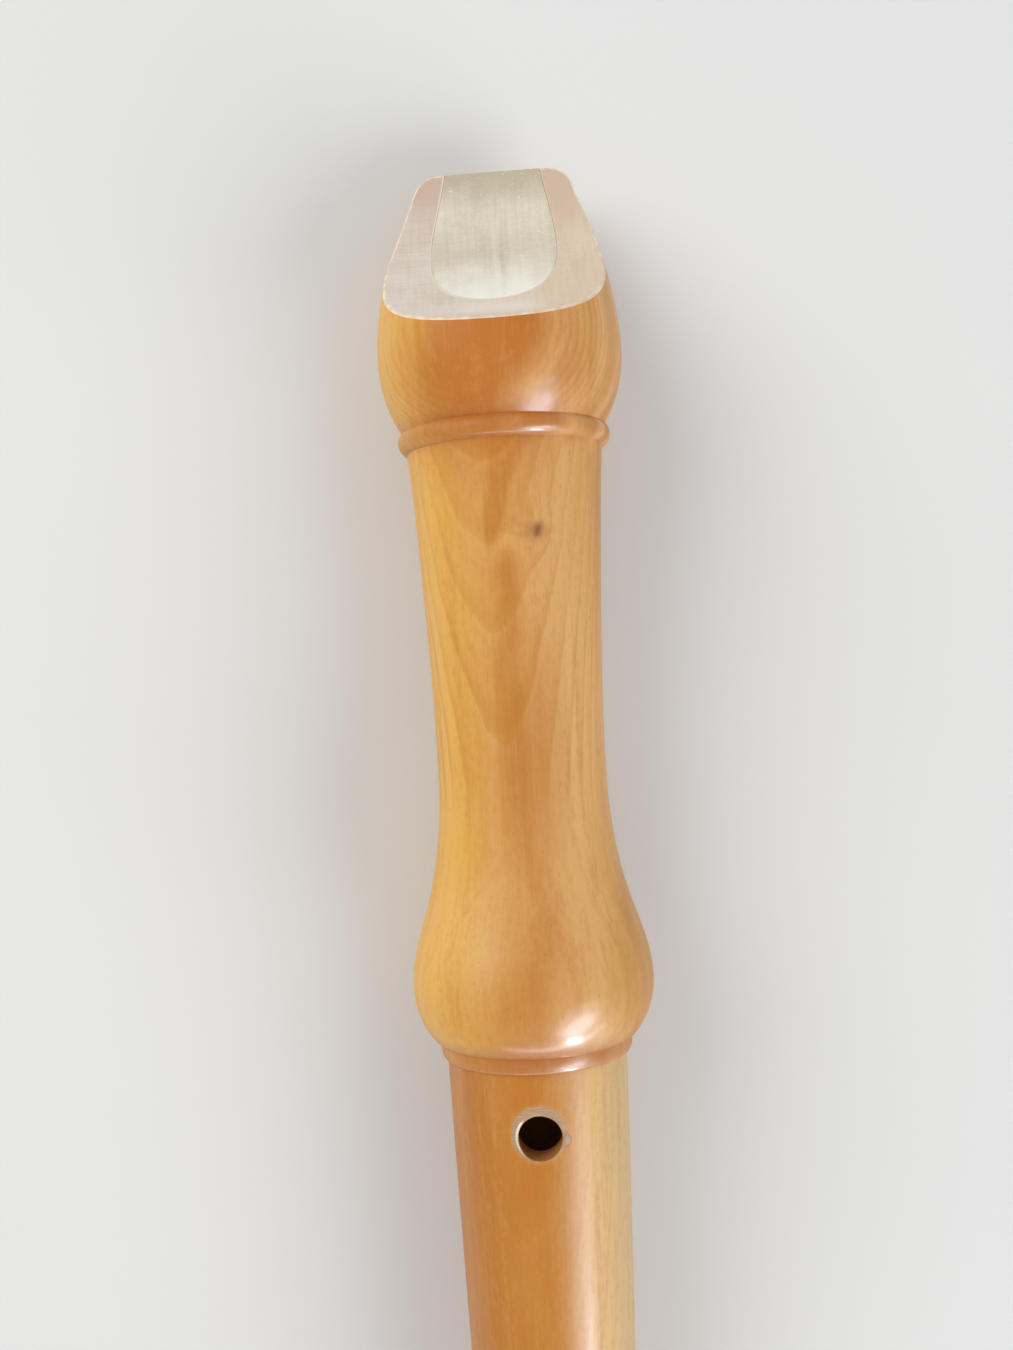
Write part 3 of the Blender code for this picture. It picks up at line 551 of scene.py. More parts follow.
def beaked_rings(outline, softening, low, cut):
    """Rings of points from the middle of the beak's cut, over its softened edge, down to a height."""
    shape = BeakedOutline(outline, cut)
    angles = shape.edge_angles(BEAK_COLUMNS)
    lengths = [shape.edge(a) for a in angles]
    edge = [shape.point(a, s) for a, s in zip(angles, lengths)]
    flat = [Vector((p.x, cut.along(p.y, p.z))) for p in edge]
    centre = sum(flat, Vector((0.0, 0.0))) / len(flat)
    count = len(edge)
    outer = []
    inner = []
    for i in range(count):
        before, after = i - 1, (i + 1) % count
        radius = shape.at(lengths[i])[1]
        turn = (angles[after] - angles[before] + math.pi) % (2 * math.pi) - math.pi
        step = Vector((radius * turn, lengths[after] - lengths[before])).normalized()
        outer.append((angles[i] - softening * step.y / radius, lengths[i] + softening * step.x))
        step = (flat[after] - flat[before]).normalized()
        inward = Vector((-step.y, step.x))
        if inward.dot(centre - flat[i]) < 0:
            inward = -inward
        inner.append(flat[i] + softening * inward)
    rings = [[cut.point(*centre)]]
    for k in range(1, CUT_ROWS + 1):
        rings.append([cut.point(*centre.lerp(p, k / CUT_ROWS)) for p in inner])
    starts = rings[-1]
    ends = [shape.point(a, s) for a, s in outer]
    for k in range(1, EDGE_STEPS):
        t = k / EDGE_STEPS
        rings.append([a * (1 - t) ** 2 + e * 2 * t * (1 - t) + b * t**2 for a, e, b in zip(starts, edge, ends)])
    low_length = float(np.interp(-low, -shape.heights, shape.lengths))
    for k in range(BEAK_ROWS + 1):
        t = k / BEAK_ROWS
        ease = t * t * (3 - 2 * t)
        ring = []
        for i, (angle, s) in enumerate(outer):
            straight = 2 * math.pi * i / count - math.pi
            ring.append(shape.point(angle + (straight - angle) * ease, s + (low_length - s) * t))
        rings.append(ring)
    finishes = [BARE] * (CUT_ROWS + 1) + [RUBBED_HIGHLIT] * EDGE_STEPS + [TURNED] * BEAK_ROWS
    return rings, finishes


# Cutters

def rimmed_hole(height, width, turn, back, outside, rim):
    """A hole with a rounded rim that follows the turned surface, undercut towards the bore.

    outside gives the turned radius at a height, and rim the rounding at an angle round the hole.
    """
    mouth = width / 2
    depth = outside(height)
    slope = (HOLE_UNDERCUT - 1) * mouth / depth
    angles = [2 * math.pi * i / HOLE_SIDES for i in range(HOLE_SIDES)]
    flare = (1 - math.cos(RIM_ANGLE), RIM_CLEAR * math.tan(RIM_ANGLE))

    def ring(reaches, sinks):
        """Points at a distance from the hole's middle and a depth under the turned surface."""
        made = []
        for angle, reach, sink in zip(angles, reaches, sinks):
            u, v = reach * math.cos(angle), reach * math.sin(angle)
            level = math.sqrt(outside(height + v) ** 2 - u * u)
            made.append((u, sink - level, height + v))
        return made

    rings = [[(mouth + slope * depth) * Vector((math.cos(a), 0.0, math.sin(a))) for a in angles]]
    rings[0] = [(p.x, 0.0, height + p.z) for p in rings[0]]
    finishes = [INSIDE]
    for i in range(RIM_STEPS + 1):
        bend = RIM_ANGLE * i / RIM_STEPS
        reaches = [mouth + rim(a) * (1 - math.cos(bend)) for a in angles]
        rings.append(ring(reaches, [rim(a) * (1 - math.sin(bend)) for a in angles]))
        finishes.append(INSIDE if i == 0 else TURNED)
    reaches = [mouth + rim(a) * flare[0] + flare[1] for a in angles]
    rings.append(ring(reaches, [rim(a) * (1 - math.sin(RIM_ANGLE)) - RIM_CLEAR for a in angles]))
    rings.append(ring(reaches, [-REACH] * HOLE_SIDES))
    mesh = joined_rings("hole", rings, finishes + [TURNED, TURNED], False)
    mesh.transform(Matrix.Rotation(-turn, 4, "Z") @ Matrix.Rotation(0.0 if back else math.pi, 4, "Z"))
    return mesh


def even_rim(angle):
    """The rounding of a finger hole's rim, the same all round."""
    return HOLE_RIM


def worn_rim(angle):
    """The rounding of the thumb hole's rim, worn most on the side of the head joint and the player's left."""
    across, along = math.cos(angle - THUMB_WEAR_TURN), math.sin(3 * angle + 0.7)
    return THUMB_RIM * (0.62 + 0.48 * across + 0.07 * along + 0.04 * math.sin(7 * angle + 2.0))


def double_hole(large, small, outside):
    """The (turn, width) of a pair of holes side by side, the large one on the player's right."""
    spacing = (large + small) / 2 + DOUBLE_HOLE_WEB
    turn = spacing / outside
    return [(turn / 2, large), (-turn / 2, small)]


def head_bore():
    """Everything inside the head joint: the socket, the bore and the block's tapering seat."""
    widening = (BLOCK_SEAT_TIP_RADIUS - BLOCK_SEAT_RADIUS) / WINDOW_FROM_TIP
    outline = [
        (HEAD_LENGTH + REACH, BLOCK_SEAT_TIP_RADIUS + widening * REACH),
        (WINDOW_RISE - BLOCK_END_GAP, BLOCK_SEAT_RADIUS),
        (WINDOW_RISE - BLOCK_END_GAP, HEAD_BORE_RADIUS),
        (UPPER_SOCKET_DEPTH, HEAD_BORE_RADIUS),
        (UPPER_SOCKET_DEPTH, UPPER_SOCKET_RADIUS),
        (SOCKET_MOUTH_CHAMFER, UPPER_SOCKET_RADIUS),
        (-SOCKET_MOUTH_CHAMFER, UPPER_SOCKET_RADIUS + 2 * SOCKET_MOUTH_CHAMFER),
    ]
    return turned_mesh("head_bore", [(outline, INSIDE)], closed=False)


def windway_roof():
    """The channel in the head joint's wall above the block."""
    exit_roof = WINDWAY_EXIT_FLOOR + WINDWAY_EXIT_HEIGHT
    entry_roof = WINDWAY_EXIT_FLOOR + WINDWAY_ENTRY_RISE + WINDWAY_ENTRY_HEIGHT
    floor = HEAD_BORE_RADIUS / 2
    growth = 1 + REACH / WINDOW_FROM_TIP
    entry_width = WINDOW_WIDTH + (WINDWAY_ENTRY_WIDTH - WINDOW_WIDTH) * growth
    entry_crown = exit_roof + (entry_roof - exit_roof) * growth
    lower = arched_section(WINDOW_WIDTH, floor, exit_roof, WINDOW_RISE)
    upper = arched_section(entry_width, floor, entry_crown, HEAD_LENGTH + REACH)
    return loft_mesh("windway_roof", lower, upper, INSIDE)


def window():
    """The opening between the block's end and the labium's edge."""
    half = WINDOW_WIDTH / 2
    low = HEAD_BORE_RADIUS / 2
    high = BEAK_BULB_RADIUS + REACH
    section = [(-half, low), (half, low), (half, high), (-half, high)]
    lower = [(x, y, LABIUM_RISE) for x, y in section]
    upper = [(x, y, WINDOW_RISE) for x, y in section]
    return loft_mesh("window", lower, upper, BARE)


def ramp():
    """What lies above the labium's ramp, from its edge to the barrel's outside."""
    crown = HEAD_BORE_RADIUS + LABIUM_STEP
    slope = (BARREL_MID_RADIUS - crown) / RAMP_LENGTH
    high = BEAK_BULB_RADIUS + REACH
    long = RAMP_LENGTH + REACH
    lower = arched_section(WINDOW_WIDTH, high, crown + slope * long, LABIUM_RISE - long, roof=False)
    upper = arched_section(WINDOW_WIDTH, high, crown, LABIUM_RISE, roof=False)
    return loft_mesh("ramp", lower, upper, BARE)


def undercut():
    """The relief under the labium that thins its edge."""
    crown = HEAD_BORE_RADIUS + LABIUM_STEP - LABIUM_THICKNESS
    floor = HEAD_BORE_RADIUS / 2
    lower = arched_section(WINDOW_WIDTH, floor, crown - UNDERCUT_DROP, LABIUM_RISE - UNDERCUT_LENGTH)
    upper = arched_section(WINDOW_WIDTH, floor, crown, LABIUM_RISE + LABIUM_THICKNESS)
    return loft_mesh("undercut", lower, upper, INSIDE)


def floor_arch(name, low_crown, low, high_crown, high):
    """What is taken off the block's front down to an arch that runs from one crown to another."""
    width = 2 * BLOCK_SEAT_TIP_RADIUS + REACH
    lower = arched_section(width, BEAK_BULB_RADIUS, low_crown, low, roof=False, arch_points=48)
    upper = arched_section(width, BEAK_BULB_RADIUS, high_crown, high, roof=False, arch_points=48)
    return loft_mesh(name, lower, upper, TURNED)


def planed_floor():
    """What is planed off the block's front to floor the windway."""
    lift = WINDWAY_ENTRY_RISE * REACH / WINDOW_FROM_TIP
    entry_floor = WINDWAY_EXIT_FLOOR + WINDWAY_ENTRY_RISE
    low, high = WINDOW_RISE - REACH, HEAD_LENGTH + REACH
    return floor_arch("planed_floor", WINDWAY_EXIT_FLOOR - lift, low, entry_floor + lift, high)


def block_chamfer():
    """The small slope on the block's edge where the breath leaves the windway."""
    reach = BLOCK_CHAMFER + REACH
    edge = WINDWAY_EXIT_FLOOR - BLOCK_CHAMFER
    return floor_arch("block_chamfer", edge - reach, WINDOW_RISE - reach, edge + reach, WINDOW_RISE + reach)


# Shader graphs written as plain expressions

class Wire:
    """A shader socket that takes part in ordinary arithmetic."""

    def __init__(self, finish, socket):
        self.finish = finish
        self.socket = socket

    def maths(self, operation, *values, clamp=False):
        settings = {"operation": operation, "use_clamp": clamp}
        return self.finish.node("ShaderNodeMath", settings, dict(enumerate(values))).out("Value")

    def __add__(self, other):
        return self.maths("ADD", self, other)

    def __radd__(self, other):
        return self.maths("ADD", other, self)

    def __sub__(self, other):
        return self.maths("SUBTRACT", self, other)

    def __rsub__(self, other):
        return self.maths("SUBTRACT", other, self)

    def __mul__(self, other):
        return self.maths("MULTIPLY", self, other)

    def __rmul__(self, other):
        return self.maths("MULTIPLY", other, self)

    def __truediv__(self, other):
        return self.maths("DIVIDE", self, other)

    def __rtruediv__(self, other):
        return self.maths("DIVIDE", other, self)

    def __pow__(self, other):
        return self.maths("POWER", self, other)

    def __abs__(self):
        return self.maths("ABSOLUTE", self)

    def fraction(self):
        return self.maths("FRACT", self)

    def sine(self):
        return self.maths("SINE", self)

    def at_least(self, low):
        return self.maths("MAXIMUM", self, low)

    def clamped(self):
        return self.maths("ADD", self, 0.0, clamp=True)

    def above(self, low, high):
        """0 below low, 1 above high and smooth between them."""
        settings = {"interpolation_type": "SMOOTHSTEP"}
        inputs = {"Value": self, "From Min": low, "From Max": high, "To Min": 0.0, "To Max": 1.0}
        return self.finish.node("ShaderNodeMapRange", settings, inputs).out("Result")

    def below(self, low, high):
        """1 below low, 0 above high and smooth between them."""
        return 1.0 - self.above(low, high)


class Node:
    """A shader node whose outputs are read by name or number."""

    def __init__(self, finish, node):
        self.finish = finish
        self.node = node

    def out(self, name):
        return Wire(self.finish, self.node.outputs[name])


class Finish:
    """One material and the nodes that make it."""

    def __init__(self, name):
        self.material = bpy.data.materials.new(name)
        self.material.use_nodes = True
        self.tree = self.material.node_tree
        self.shader = self.tree.nodes["Principled BSDF"]
        self.place = self.node("ShaderNodeTexCoord").out("Object")

    def node(self, kind, settings=None, inputs=None):
        """Adds a node: its settings first, then the values or links of its sockets."""
        made = self.tree.nodes.new(kind)
        for name, value in (settings or {}).items():
            if name == "stops":
                self.set_stops(made.color_ramp, value)
            else:
                setattr(made, name, value)
        for key, value in (inputs or {}).items():
            self.plug(made.inputs[key], value)
        return Node(self, made)

    def plug(self, socket, value):
        if isinstance(value, Wire):
            self.tree.links.new(value.socket, socket)
        else:
            socket.default_value = value

    def set_stops(self, ramp, stops):
        while len(ramp.elements) < len(stops):
            ramp.elements.new(0.5)
        for element, (position, colour) in zip(ramp.elements, stops):
            element.position = position
            element.color = colour

    def surface(self, **values):
        """Sets the shader's own sockets, named with underscores for spaces."""
        for name, value in values.items():
            self.plug(self.shader.inputs[name.replace("_", " ")], value)

    def mix(self, factor, first, second, blend_type="MIX"):
        settings = {"data_type": "RGBA", "blend_type": blend_type}
        return self.node("ShaderNodeMix", settings, {0: factor, 6: first, 7: second}).out(2)

    def ramp(self, value, stops):
        return self.node("ShaderNodeValToRGB", {"stops": stops}, {"Fac": value}).out("Color")

    def parts(self):
        split = self.node("ShaderNodeSeparateXYZ", None, {0: self.place})
        return split.out("X"), split.out("Y"), split.out("Z")

    def joined(self, x, y, z):
        return self.node("ShaderNodeCombineXYZ", None, {"X": x, "Y": y, "Z": z}).out("Vector")

    def noise(self, scale, detail=3.0, roughness=0.5, shift=(0.0, 0.0, 0.0), vector=None, distortion=0.0):
        """Noise from 0 to 1 with a number of waves to the metre along each axis."""
        settings = {"operation": "MULTIPLY_ADD"}
        start = self.place if vector is None else vector
        moved = self.node("ShaderNodeVectorMath", settings, {0: start, 1: scale, 2: shift}).out("Vector")
        inputs = {
            "Vector": moved,
            "Scale": 1.0,
            "Detail": detail,
            "Roughness": roughness,
            "Distortion": distortion,
        }
        return self.node("ShaderNodeTexNoise", None, inputs).out("Fac")

    def distance(self, x, y, z=0.0):
        """The length of a vector given by its parts."""
        return self.node("ShaderNodeVectorMath", {"operation": "LENGTH"}, {0: self.joined(x, y, z)}).out("Value")

    def bumped(self, height, strength, distance, normal=None):
        inputs = {"Height": height, "Strength": strength, "Distance": distance}
        if normal is not None:
            inputs["Normal"] = normal
        return self.node("ShaderNodeBump", None, inputs).out("Normal")


def rgb(red, green, blue):
    """A shader colour from the screen values 0 to 255."""
    made = []
    for value in (red, green, blue):
        c = value / 255
        made.append(c / 12.92 if c <= 0.04045 else ((c + 0.055) / 1.055) ** 2.4)
    return (*made, 1.0)


# Finishes

YELLOW_PEAR = rgb(228, 171, 70)
TAN_PEAR = rgb(214, 154, 74)
PINK_PEAR = rgb(219, 163, 98)
ORANGE_PEAR = rgb(207, 140, 42)
HEART_PEAR = rgb(182, 110, 32)
BULB_PEAR = rgb(192, 114, 38)
# Painted shade: reddish brown laid on the narrow bands where the bulbs shade them
PAINTED_SHADE_BROWN = rgb(182, 108, 50)
STREAK_PEAR = rgb(184, 108, 20)
RING_BROWN = rgb(160, 96, 38)
SWIRL_PEAR = rgb(222, 162, 98)
RING_PALE = rgb(240, 196, 126)
KNOT_BROWN = rgb(134, 82, 50)
KNOT_HALO = rgb(184, 118, 68)
WORN_PEAR = rgb(190, 156, 122)
WORN_SHADE = rgb(162, 124, 90)
# Pale of rubbed wear, also used for painted highlights on edges
RUBBED_AND_HIGHLIT_PEAR = rgb(240, 226, 206)
PORE_BROWN = rgb(136, 78, 30)

RING_WIDTH = 0.0012
PITH_DEPTH = 0.0216
PITH_SIDE = 0.0047
PITH_TILT = 0.055
EVEN_RADIUS = 0.0122
SHEET_WIDTH = 0.032


class Grain:
    """The figure of turned pear: growth layers round a pith below the bore, fibres along it."""

    def __init__(self, finish, shift):
        self.finish = finish
        self.shift = shift
        self.x, self.y, self.z = finish.parts()
        self.drift = finish.noise((60.0, 14.0, 60.0), 2.0, 0.5, shift)
        self.wander = finish.noise((110.0, 45.0, 110.0), 3.0, 0.55, shift)
        self.cloud = finish.noise((95.0, 42.0, 95.0), 3.0, 0.55, (shift[1], shift[2], shift[0]))
        radius = finish.distance(self.x, 0.0, self.z - AXIS_HEIGHT)
        self.across = self.x * (EVEN_RADIUS / radius) ** 0.5
        self.top = self.z.above(AXIS_HEIGHT, AXIS_HEIGHT + 0.002)

    def sheets(self, colours):
        """The broad colours from the left edge to the right."""
        place = (self.across + (self.drift - 0.5) * 0.005) * (1 / SHEET_WIDTH) + 0.5
        return self.finish.ramp(place, colours)

    def rings(self, ring_shift, knot):
        """How many growth layers lie between the pith and a point."""
        deep = self.z - (AXIS_HEIGHT - PITH_DEPTH)
        grown = self.finish.distance(self.x - PITH_SIDE, 0.0, deep) + self.y * PITH_TILT
        grown = grown + (self.wander - 0.5) * 0.0007 + (self.drift - 0.5) * 0.0007
        if knot:
            away = self.finish.distance(self.x - knot[0], (self.y - knot[1]) * 0.7)
            grown = grown + away.below(0.0, 0.0042) * 0.0008
        return grown * (1 / RING_WIDTH) + ring_shift

    def streak(self, narrow, bends, fork):
        """The dark heart streak along the back, wider away from the beak.

        bends says between which two places it moves over and how far. Above the fork it is a wedge that leans left.
        """
        sway = self.finish.noise((0.0, 62.0, 0.0), 2.0, 0.5, self.shift)
        ragged = (self.wander - 0.5) * 0.004
        off = self.across + 0.0008 + (sway - 0.5) * 0.004 + ragged
        for low, high, shift in bends:
            off = off - self.y.below(low, high) * shift
        width = 0.0017 + (narrow - self.y).at_least(0.0) * 0.04
        made = (abs(off) / width).below(0.1, 1.0)
        if fork:
            along = (self.y - fork) * (1 / 0.0145)
            off = self.across + 0.0024 - along * 0.0026 + ragged * 0.5
            wedge = (abs(off) / (0.0014 + along.at_least(0.0) * 0.0016)).below(0.35, 1.0)
            made = made * self.y.below(fork - 0.0028, fork + 0.0012)
            made = made + wedge * (self.y - abs(off) * 2.0).above(fork - 0.0025, fork + 0.002)
        return made

    def along(self, wide, long, detail, roughness=0.55):
        """Noise drawn out along the fibres, which spread and close with the turned outline."""
        vector = self.finish.joined(self.across, self.y, self.z)
        return self.finish.noise((wide, long, wide * 0.6), detail, roughness, self.shift, vector)


def pear(name, shift, sides, ring_shift=0.0, heart=1.0, narrow=0.125, lines=None, knot=None, worn=None, bulb=None,
         tint_shade_and_sheen=(), bends=(), fork=None):
    """Satin-lacquered pear wood.

    sides holds the colours from the left edge to the right, and heart is how strongly the dark streak shows.
    lines is the stretch of the piece over which the growth lines show most.
    """
    finish = Finish(name)
    grain = Grain(finish, shift)
    x, y = grain.x, grain.y
    colour = grain.sheets(sides)

    strand = grain.along(1150.0, 20.0, 3.0, 0.5)
    band = grain.along(520.0, 9.0, 2.0, 0.5)
    fibre = grain.along(3400.0, 260.0, 3.0, 0.6)
    mottle = finish.noise((1300.0, 800.0, 1300.0), 2.0, 0.6, shift)
    streak = grain.streak(narrow, bends, fork) * (0.55 + strand.above(0.4, 0.6) * 0.2 + grain.cloud.above(0.3, 0.6) * 0.25)
    if lines:
        shown = y.above(lines[0] - 0.008, lines[0]) * y.below(lines[1], lines[1] + 0.004)
        streak = streak * (0.4 + shown * 0.3)
        flared = grain.across.above(0.0035, 0.0075) + grain.across.below(-0.0075, -0.0035) * 0.5
        flared = flared * y.above(lines[1] + 0.0025, lines[1] + 0.004)
        shown = 0.1 + shown * 0.9 + flared * 0.5
    else:
        shown = 0.4
    colour = finish.mix(streak * heart, colour, STREAK_PEAR)
    # Patches of tint: the wood's own colour, and also painted shade on the bands and a painted highlight on the lower
    # bulb
    for centre, wide, long, strength, tint in tint_shade_and_sheen:
        away = finish.distance((x - centre[0]) * (1 / wide), (y - centre[1]) * (1 / long))
        patch = (away + (grain.cloud - 0.5) * 0.5).below(0.2, 1.1) * grain.top
        colour = finish.mix(patch * strength, colour, tint)
    colour = finish.mix((grain.cloud - 0.5).clamped() * 0.6, colour, HEART_PEAR)
    colour = finish.mix((0.5 - grain.cloud).clamped() * 0.5, colour, RING_PALE)

    rings = grain.rings(ring_shift, knot)
    ring = rings.fraction()
    line = ring.below(0.08, 0.4) * ring.above(0.0, 0.08)
    within = ring.below(0.05, 0.75)
    outer = ring.above(0.8, 0.99)
    layer = finish.joined(rings * 0.63, y, 0.0)
    vigour = finish.noise((1.0, 16.0, 1.0), 1.0, 0.5, shift, layer).above(0.25, 0.65)
    vigour = (0.45 + vigour * 0.55) * shown
    small = finish.noise((1.0, 10.0, 1.0), 2.0, 0.6, shift, finish.joined(rings * 4.2, y, 0.0))
    if bulb:
        swirl = (rings * 0.31 + 0.15).fraction()
        swirl = swirl.above(0.1, 0.5) * swirl.below(0.5, 0.9) * (y - bulb[1]).above(-0.012, -0.008)
        swirl = swirl * grain.across.above(-0.002, 0.004)
        colour = finish.mix(swirl * 0.85, colour, SWIRL_PEAR)
    colour = finish.mix(line * vigour * (0.2 - grain.across.above(0.004, 0.008) * 0.1), colour, RING_BROWN)
    colour = finish.mix(within * vigour * (0.35 - grain.across.above(0.004, 0.008) * 0.12), colour, ORANGE_PEAR)
    if lines:
        flank = grain.across.above(-0.0065, -0.002) * grain.across.below(-0.0005, 0.0045)
        flank = flank * y.below(lines[1] - 0.008, lines[1] - 0.003) * vigour
        colour = finish.mix(ring.below(0.0, 0.7) * ring.above(0.0, 0.2) * flank * 0.3, colour, HEART_PEAR)
    colour = finish.mix(outer * vigour * 0.1, colour, RING_PALE)
    if lines:
        split = (rings * 2.0 + grain.drift * 1.5).fraction()
        split = split.below(0.1, 0.6) * split.above(0.0, 0.1) * grain.wander.above(0.3, 0.6)
        colour = finish.mix(split * flared * 0.3, colour, HEART_PEAR)

    edge = grain.across.above(0.003, 0.0075) + grain.across.below(-0.0085, -0.0045) * 0.6
    tone = (strand - 0.5) * (0.2 + edge * 0.6) + (band - 0.5) * (0.25 + edge * 0.3)
    tone = tone + (small - 0.5) * 0.3 + (fibre - 0.5) * 0.4 + (mottle - 0.5) * 0.4
    colour = finish.mix((tone * 1.3).clamped(), colour, HEART_PEAR)
    colour = finish.mix((tone * -0.6).clamped(), colour, RING_PALE)
    pore = grain.along(7600.0, 900.0, 1.0).above(0.64, 0.76)
    colour = finish.mix(pore * 0.25, colour, PORE_BROWN)

    gloss = 0.4 + (mottle - 0.5) * 0.1 + (strand - 0.5) * 0.06
    if knot:
        blur = finish.noise((1100.0, 900.0, 1100.0), 3.0, 0.65)
        rough = (blur - 0.5) * 0.0011
        off, up = x - knot[0], y - knot[1]
        core = finish.distance(off - up * 0.3, up * 0.55) + rough * 0.9
        halo = finish.distance((off + 0.0004) * 0.55, up + 0.0002) + rough * 1.6
        smudge = finish.distance((off + 0.0022) * 0.8, up * 1.6) + rough * 1.2
        colour = finish.mix(smudge.below(0.0002, 0.0012) * grain.top * 0.2, colour, RING_PALE)
        colour = finish.mix(halo.below(0.0002, 0.0018) * grain.top * 0.6, colour, KNOT_HALO)
        colour = finish.mix(core.below(0.0, 0.00095) * grain.top * 0.85, colour, KNOT_BROWN)
    if worn:
        ragged = finish.noise((900.0, 900.0, 900.0), 3.0, 0.65)
        scored = finish.noise((500.0, 6200.0, 500.0), 2.0, 0.6)
        rubbed = finish.distance(x - worn[0], y - worn[1]) + (ragged - 0.5) * 0.0007
        rim = rubbed.below(worn[2] - 0.00012, worn[2] + 0.00016) * grain.top
        halo = rubbed.below(worn[2], worn[2] + 0.0006) * grain.top
        bare = finish.mix(scored.above(0.35, 0.65) * 0.7, WORN_PEAR, WORN_SHADE)
        colour = finish.mix(halo * 0.1, colour, RING_PALE)
        colour = finish.mix(rim * 0.92, colour, bare)
        nick = finish.distance(x - worn[3], (y - worn[4]) * 0.6) + (ragged - 0.5) * 0.0009
        colour = finish.mix(nick.below(0.00052, 0.0006) * grain.top * 0.75, colour, WORN_SHADE)
        colour = finish.mix(nick.below(0.0003, 0.00042) * grain.top * 0.8, colour, WORN_PEAR)
        # painted highlight: a pale crescent inside the thumb hole's left rim, where light catches the rounded edge
        lit = finish.distance(x - worn[5], y - worn[1] + 0.0004).below(0.003, 0.0032)
        lit = lit * x.below(worn[5] - 0.0026, worn[5] - 0.0018)
        colour = finish.mix(lit * grain.top * 0.8, colour, RUBBED_AND_HIGHLIT_PEAR)
        gloss = gloss + rim * 0.28
    facing = finish.node("ShaderNodeLayerWeight", None, {"Blend": 0.5}).out("Facing")
    finish.surface(
        Base_Color=colour,
        Roughness=gloss,
        Normal=finish.bumped(fibre * 0.5 + mottle * 0.5, 0.06, 0.0001),
        Specular_IOR_Level=0.2,
        Coat_Weight=0.5 - facing.above(0.5, 0.95) * 0.38,
        Coat_IOR=1.45,
        Coat_Roughness=0.19,
    )
    return finish.material


def seat_radius(y):
    """The radius of the block's tapering seat at a place along the instrument."""
    widening = (BLOCK_SEAT_TIP_RADIUS - BLOCK_SEAT_RADIUS) / WINDOW_FROM_TIP
    return BLOCK_SEAT_TIP_RADIUS + (y - (ALONG_SHIFT + HIGHEST_Z)) * widening


def sanded_pear(name):
    """Bare sanded pear, as on the beak's cut and the labium's ramp, with a painted highlight along the cut's edge at
    the block's seam.
    """
    finish = Finish(name)
    x, y, z = finish.parts()
    grain = finish.noise((1500.0, 90.0, 160.0), 3.0, 0.6)
    scratch = finish.noise((150.0, 3000.0, 900.0), 3.0, 0.6)
    speck = finish.noise((3200.0, 2200.0, 3200.0), 2.0, 0.7)
    cloud = finish.noise((150.0, 110.0, 150.0), 2.0, 0.5)
    left = x.below(-0.009, 0.004)
    # painted highlight: a pale line along the seam with the block, strongest on the left, where light catches the
    # rounded edge
    seam_highlight = abs(finish.distance(x, 0.0, z - AXIS_HEIGHT) - seat_radius(y) - 0.00004).below(0.00005, 0.00014)
    tone = (grain - 0.5) * 0.6 + (scratch - 0.5) * (0.3 + left * 0.5) + (speck - 0.5) * 0.5 + (cloud - 0.5) * 0.7
    colour = finish.mix(left, rgb(229, 208, 184), rgb(226, 214, 202))
    colour = finish.mix((tone + 0.12).clamped(), colour, rgb(190, 160, 134))
    tip = y.above(0.150, 0.1635)
    corner = x.above(0.002, 0.008) * y.above(0.152, 0.16)
    tip = tip * 0.55 + corner * 0.35 + left * y.above(0.156, 0.161) * 0.4
    colour = finish.mix(tip, colour, rgb(204, 178, 156))
    heel = abs(x).below(0.003, 0.008) * y.above(0.1385, 0.1402) * y.below(0.1402, 0.1435)
    colour = finish.mix(heel * 0.6, colour, rgb(236, 234, 224))
    colour = finish.mix(seam_highlight * (0.25 + left * 0.65), colour, RUBBED_AND_HIGHLIT_PEAR)
    finish.surface(
        Base_Color=colour,
        Roughness=0.55 + speck * 0.1,
        Normal=finish.bumped(speck + scratch, 0.12, 0.0001),
    )
    return finish.material


def rubbed_highlit_pear(name):
    """The beak's edge, rubbed pale and a little shiny, its paleness partly a painted highlight of light catching the
    rounded edge.
    """
    finish = Finish(name)
    wear = finish.noise((700.0, 700.0, 700.0), 3.0, 0.6)
    colour = finish.mix(wear.above(0.35, 0.65), RUBBED_AND_HIGHLIT_PEAR, rgb(226, 200, 168))
    finish.surface(Base_Color=colour, Roughness=0.35 + wear * 0.1, Normal=finish.bumped(wear, 0.1, 0.0001))
    return finish.material


def oiled_pear(name):
    """Oiled pear inside the bore, the holes, the sockets and the windway."""
    finish = Finish(name)
    grain = Grain(finish, (4.4, 8.8, 2.2))
    ring = grain.rings(0.0, None).fraction()
    fine = finish.noise((3200.0, 60.0, 3200.0), 2.0, 0.5)
    layer = ring.above(0.1, 0.8) * ring.below(0.85, 1.0)
    tone = layer * (grain.drift * 0.5) + (grain.cloud - 0.3) * 0.5 + (fine - 0.5) * 0.35
    colour = finish.mix(tone.clamped(), rgb(188, 128, 66), rgb(146, 90, 42))
    finish.surface(Base_Color=colour, Roughness=0.42 + fine * 0.1, Normal=finish.bumped(fine, 0.1, 0.0001))
    return finish.material


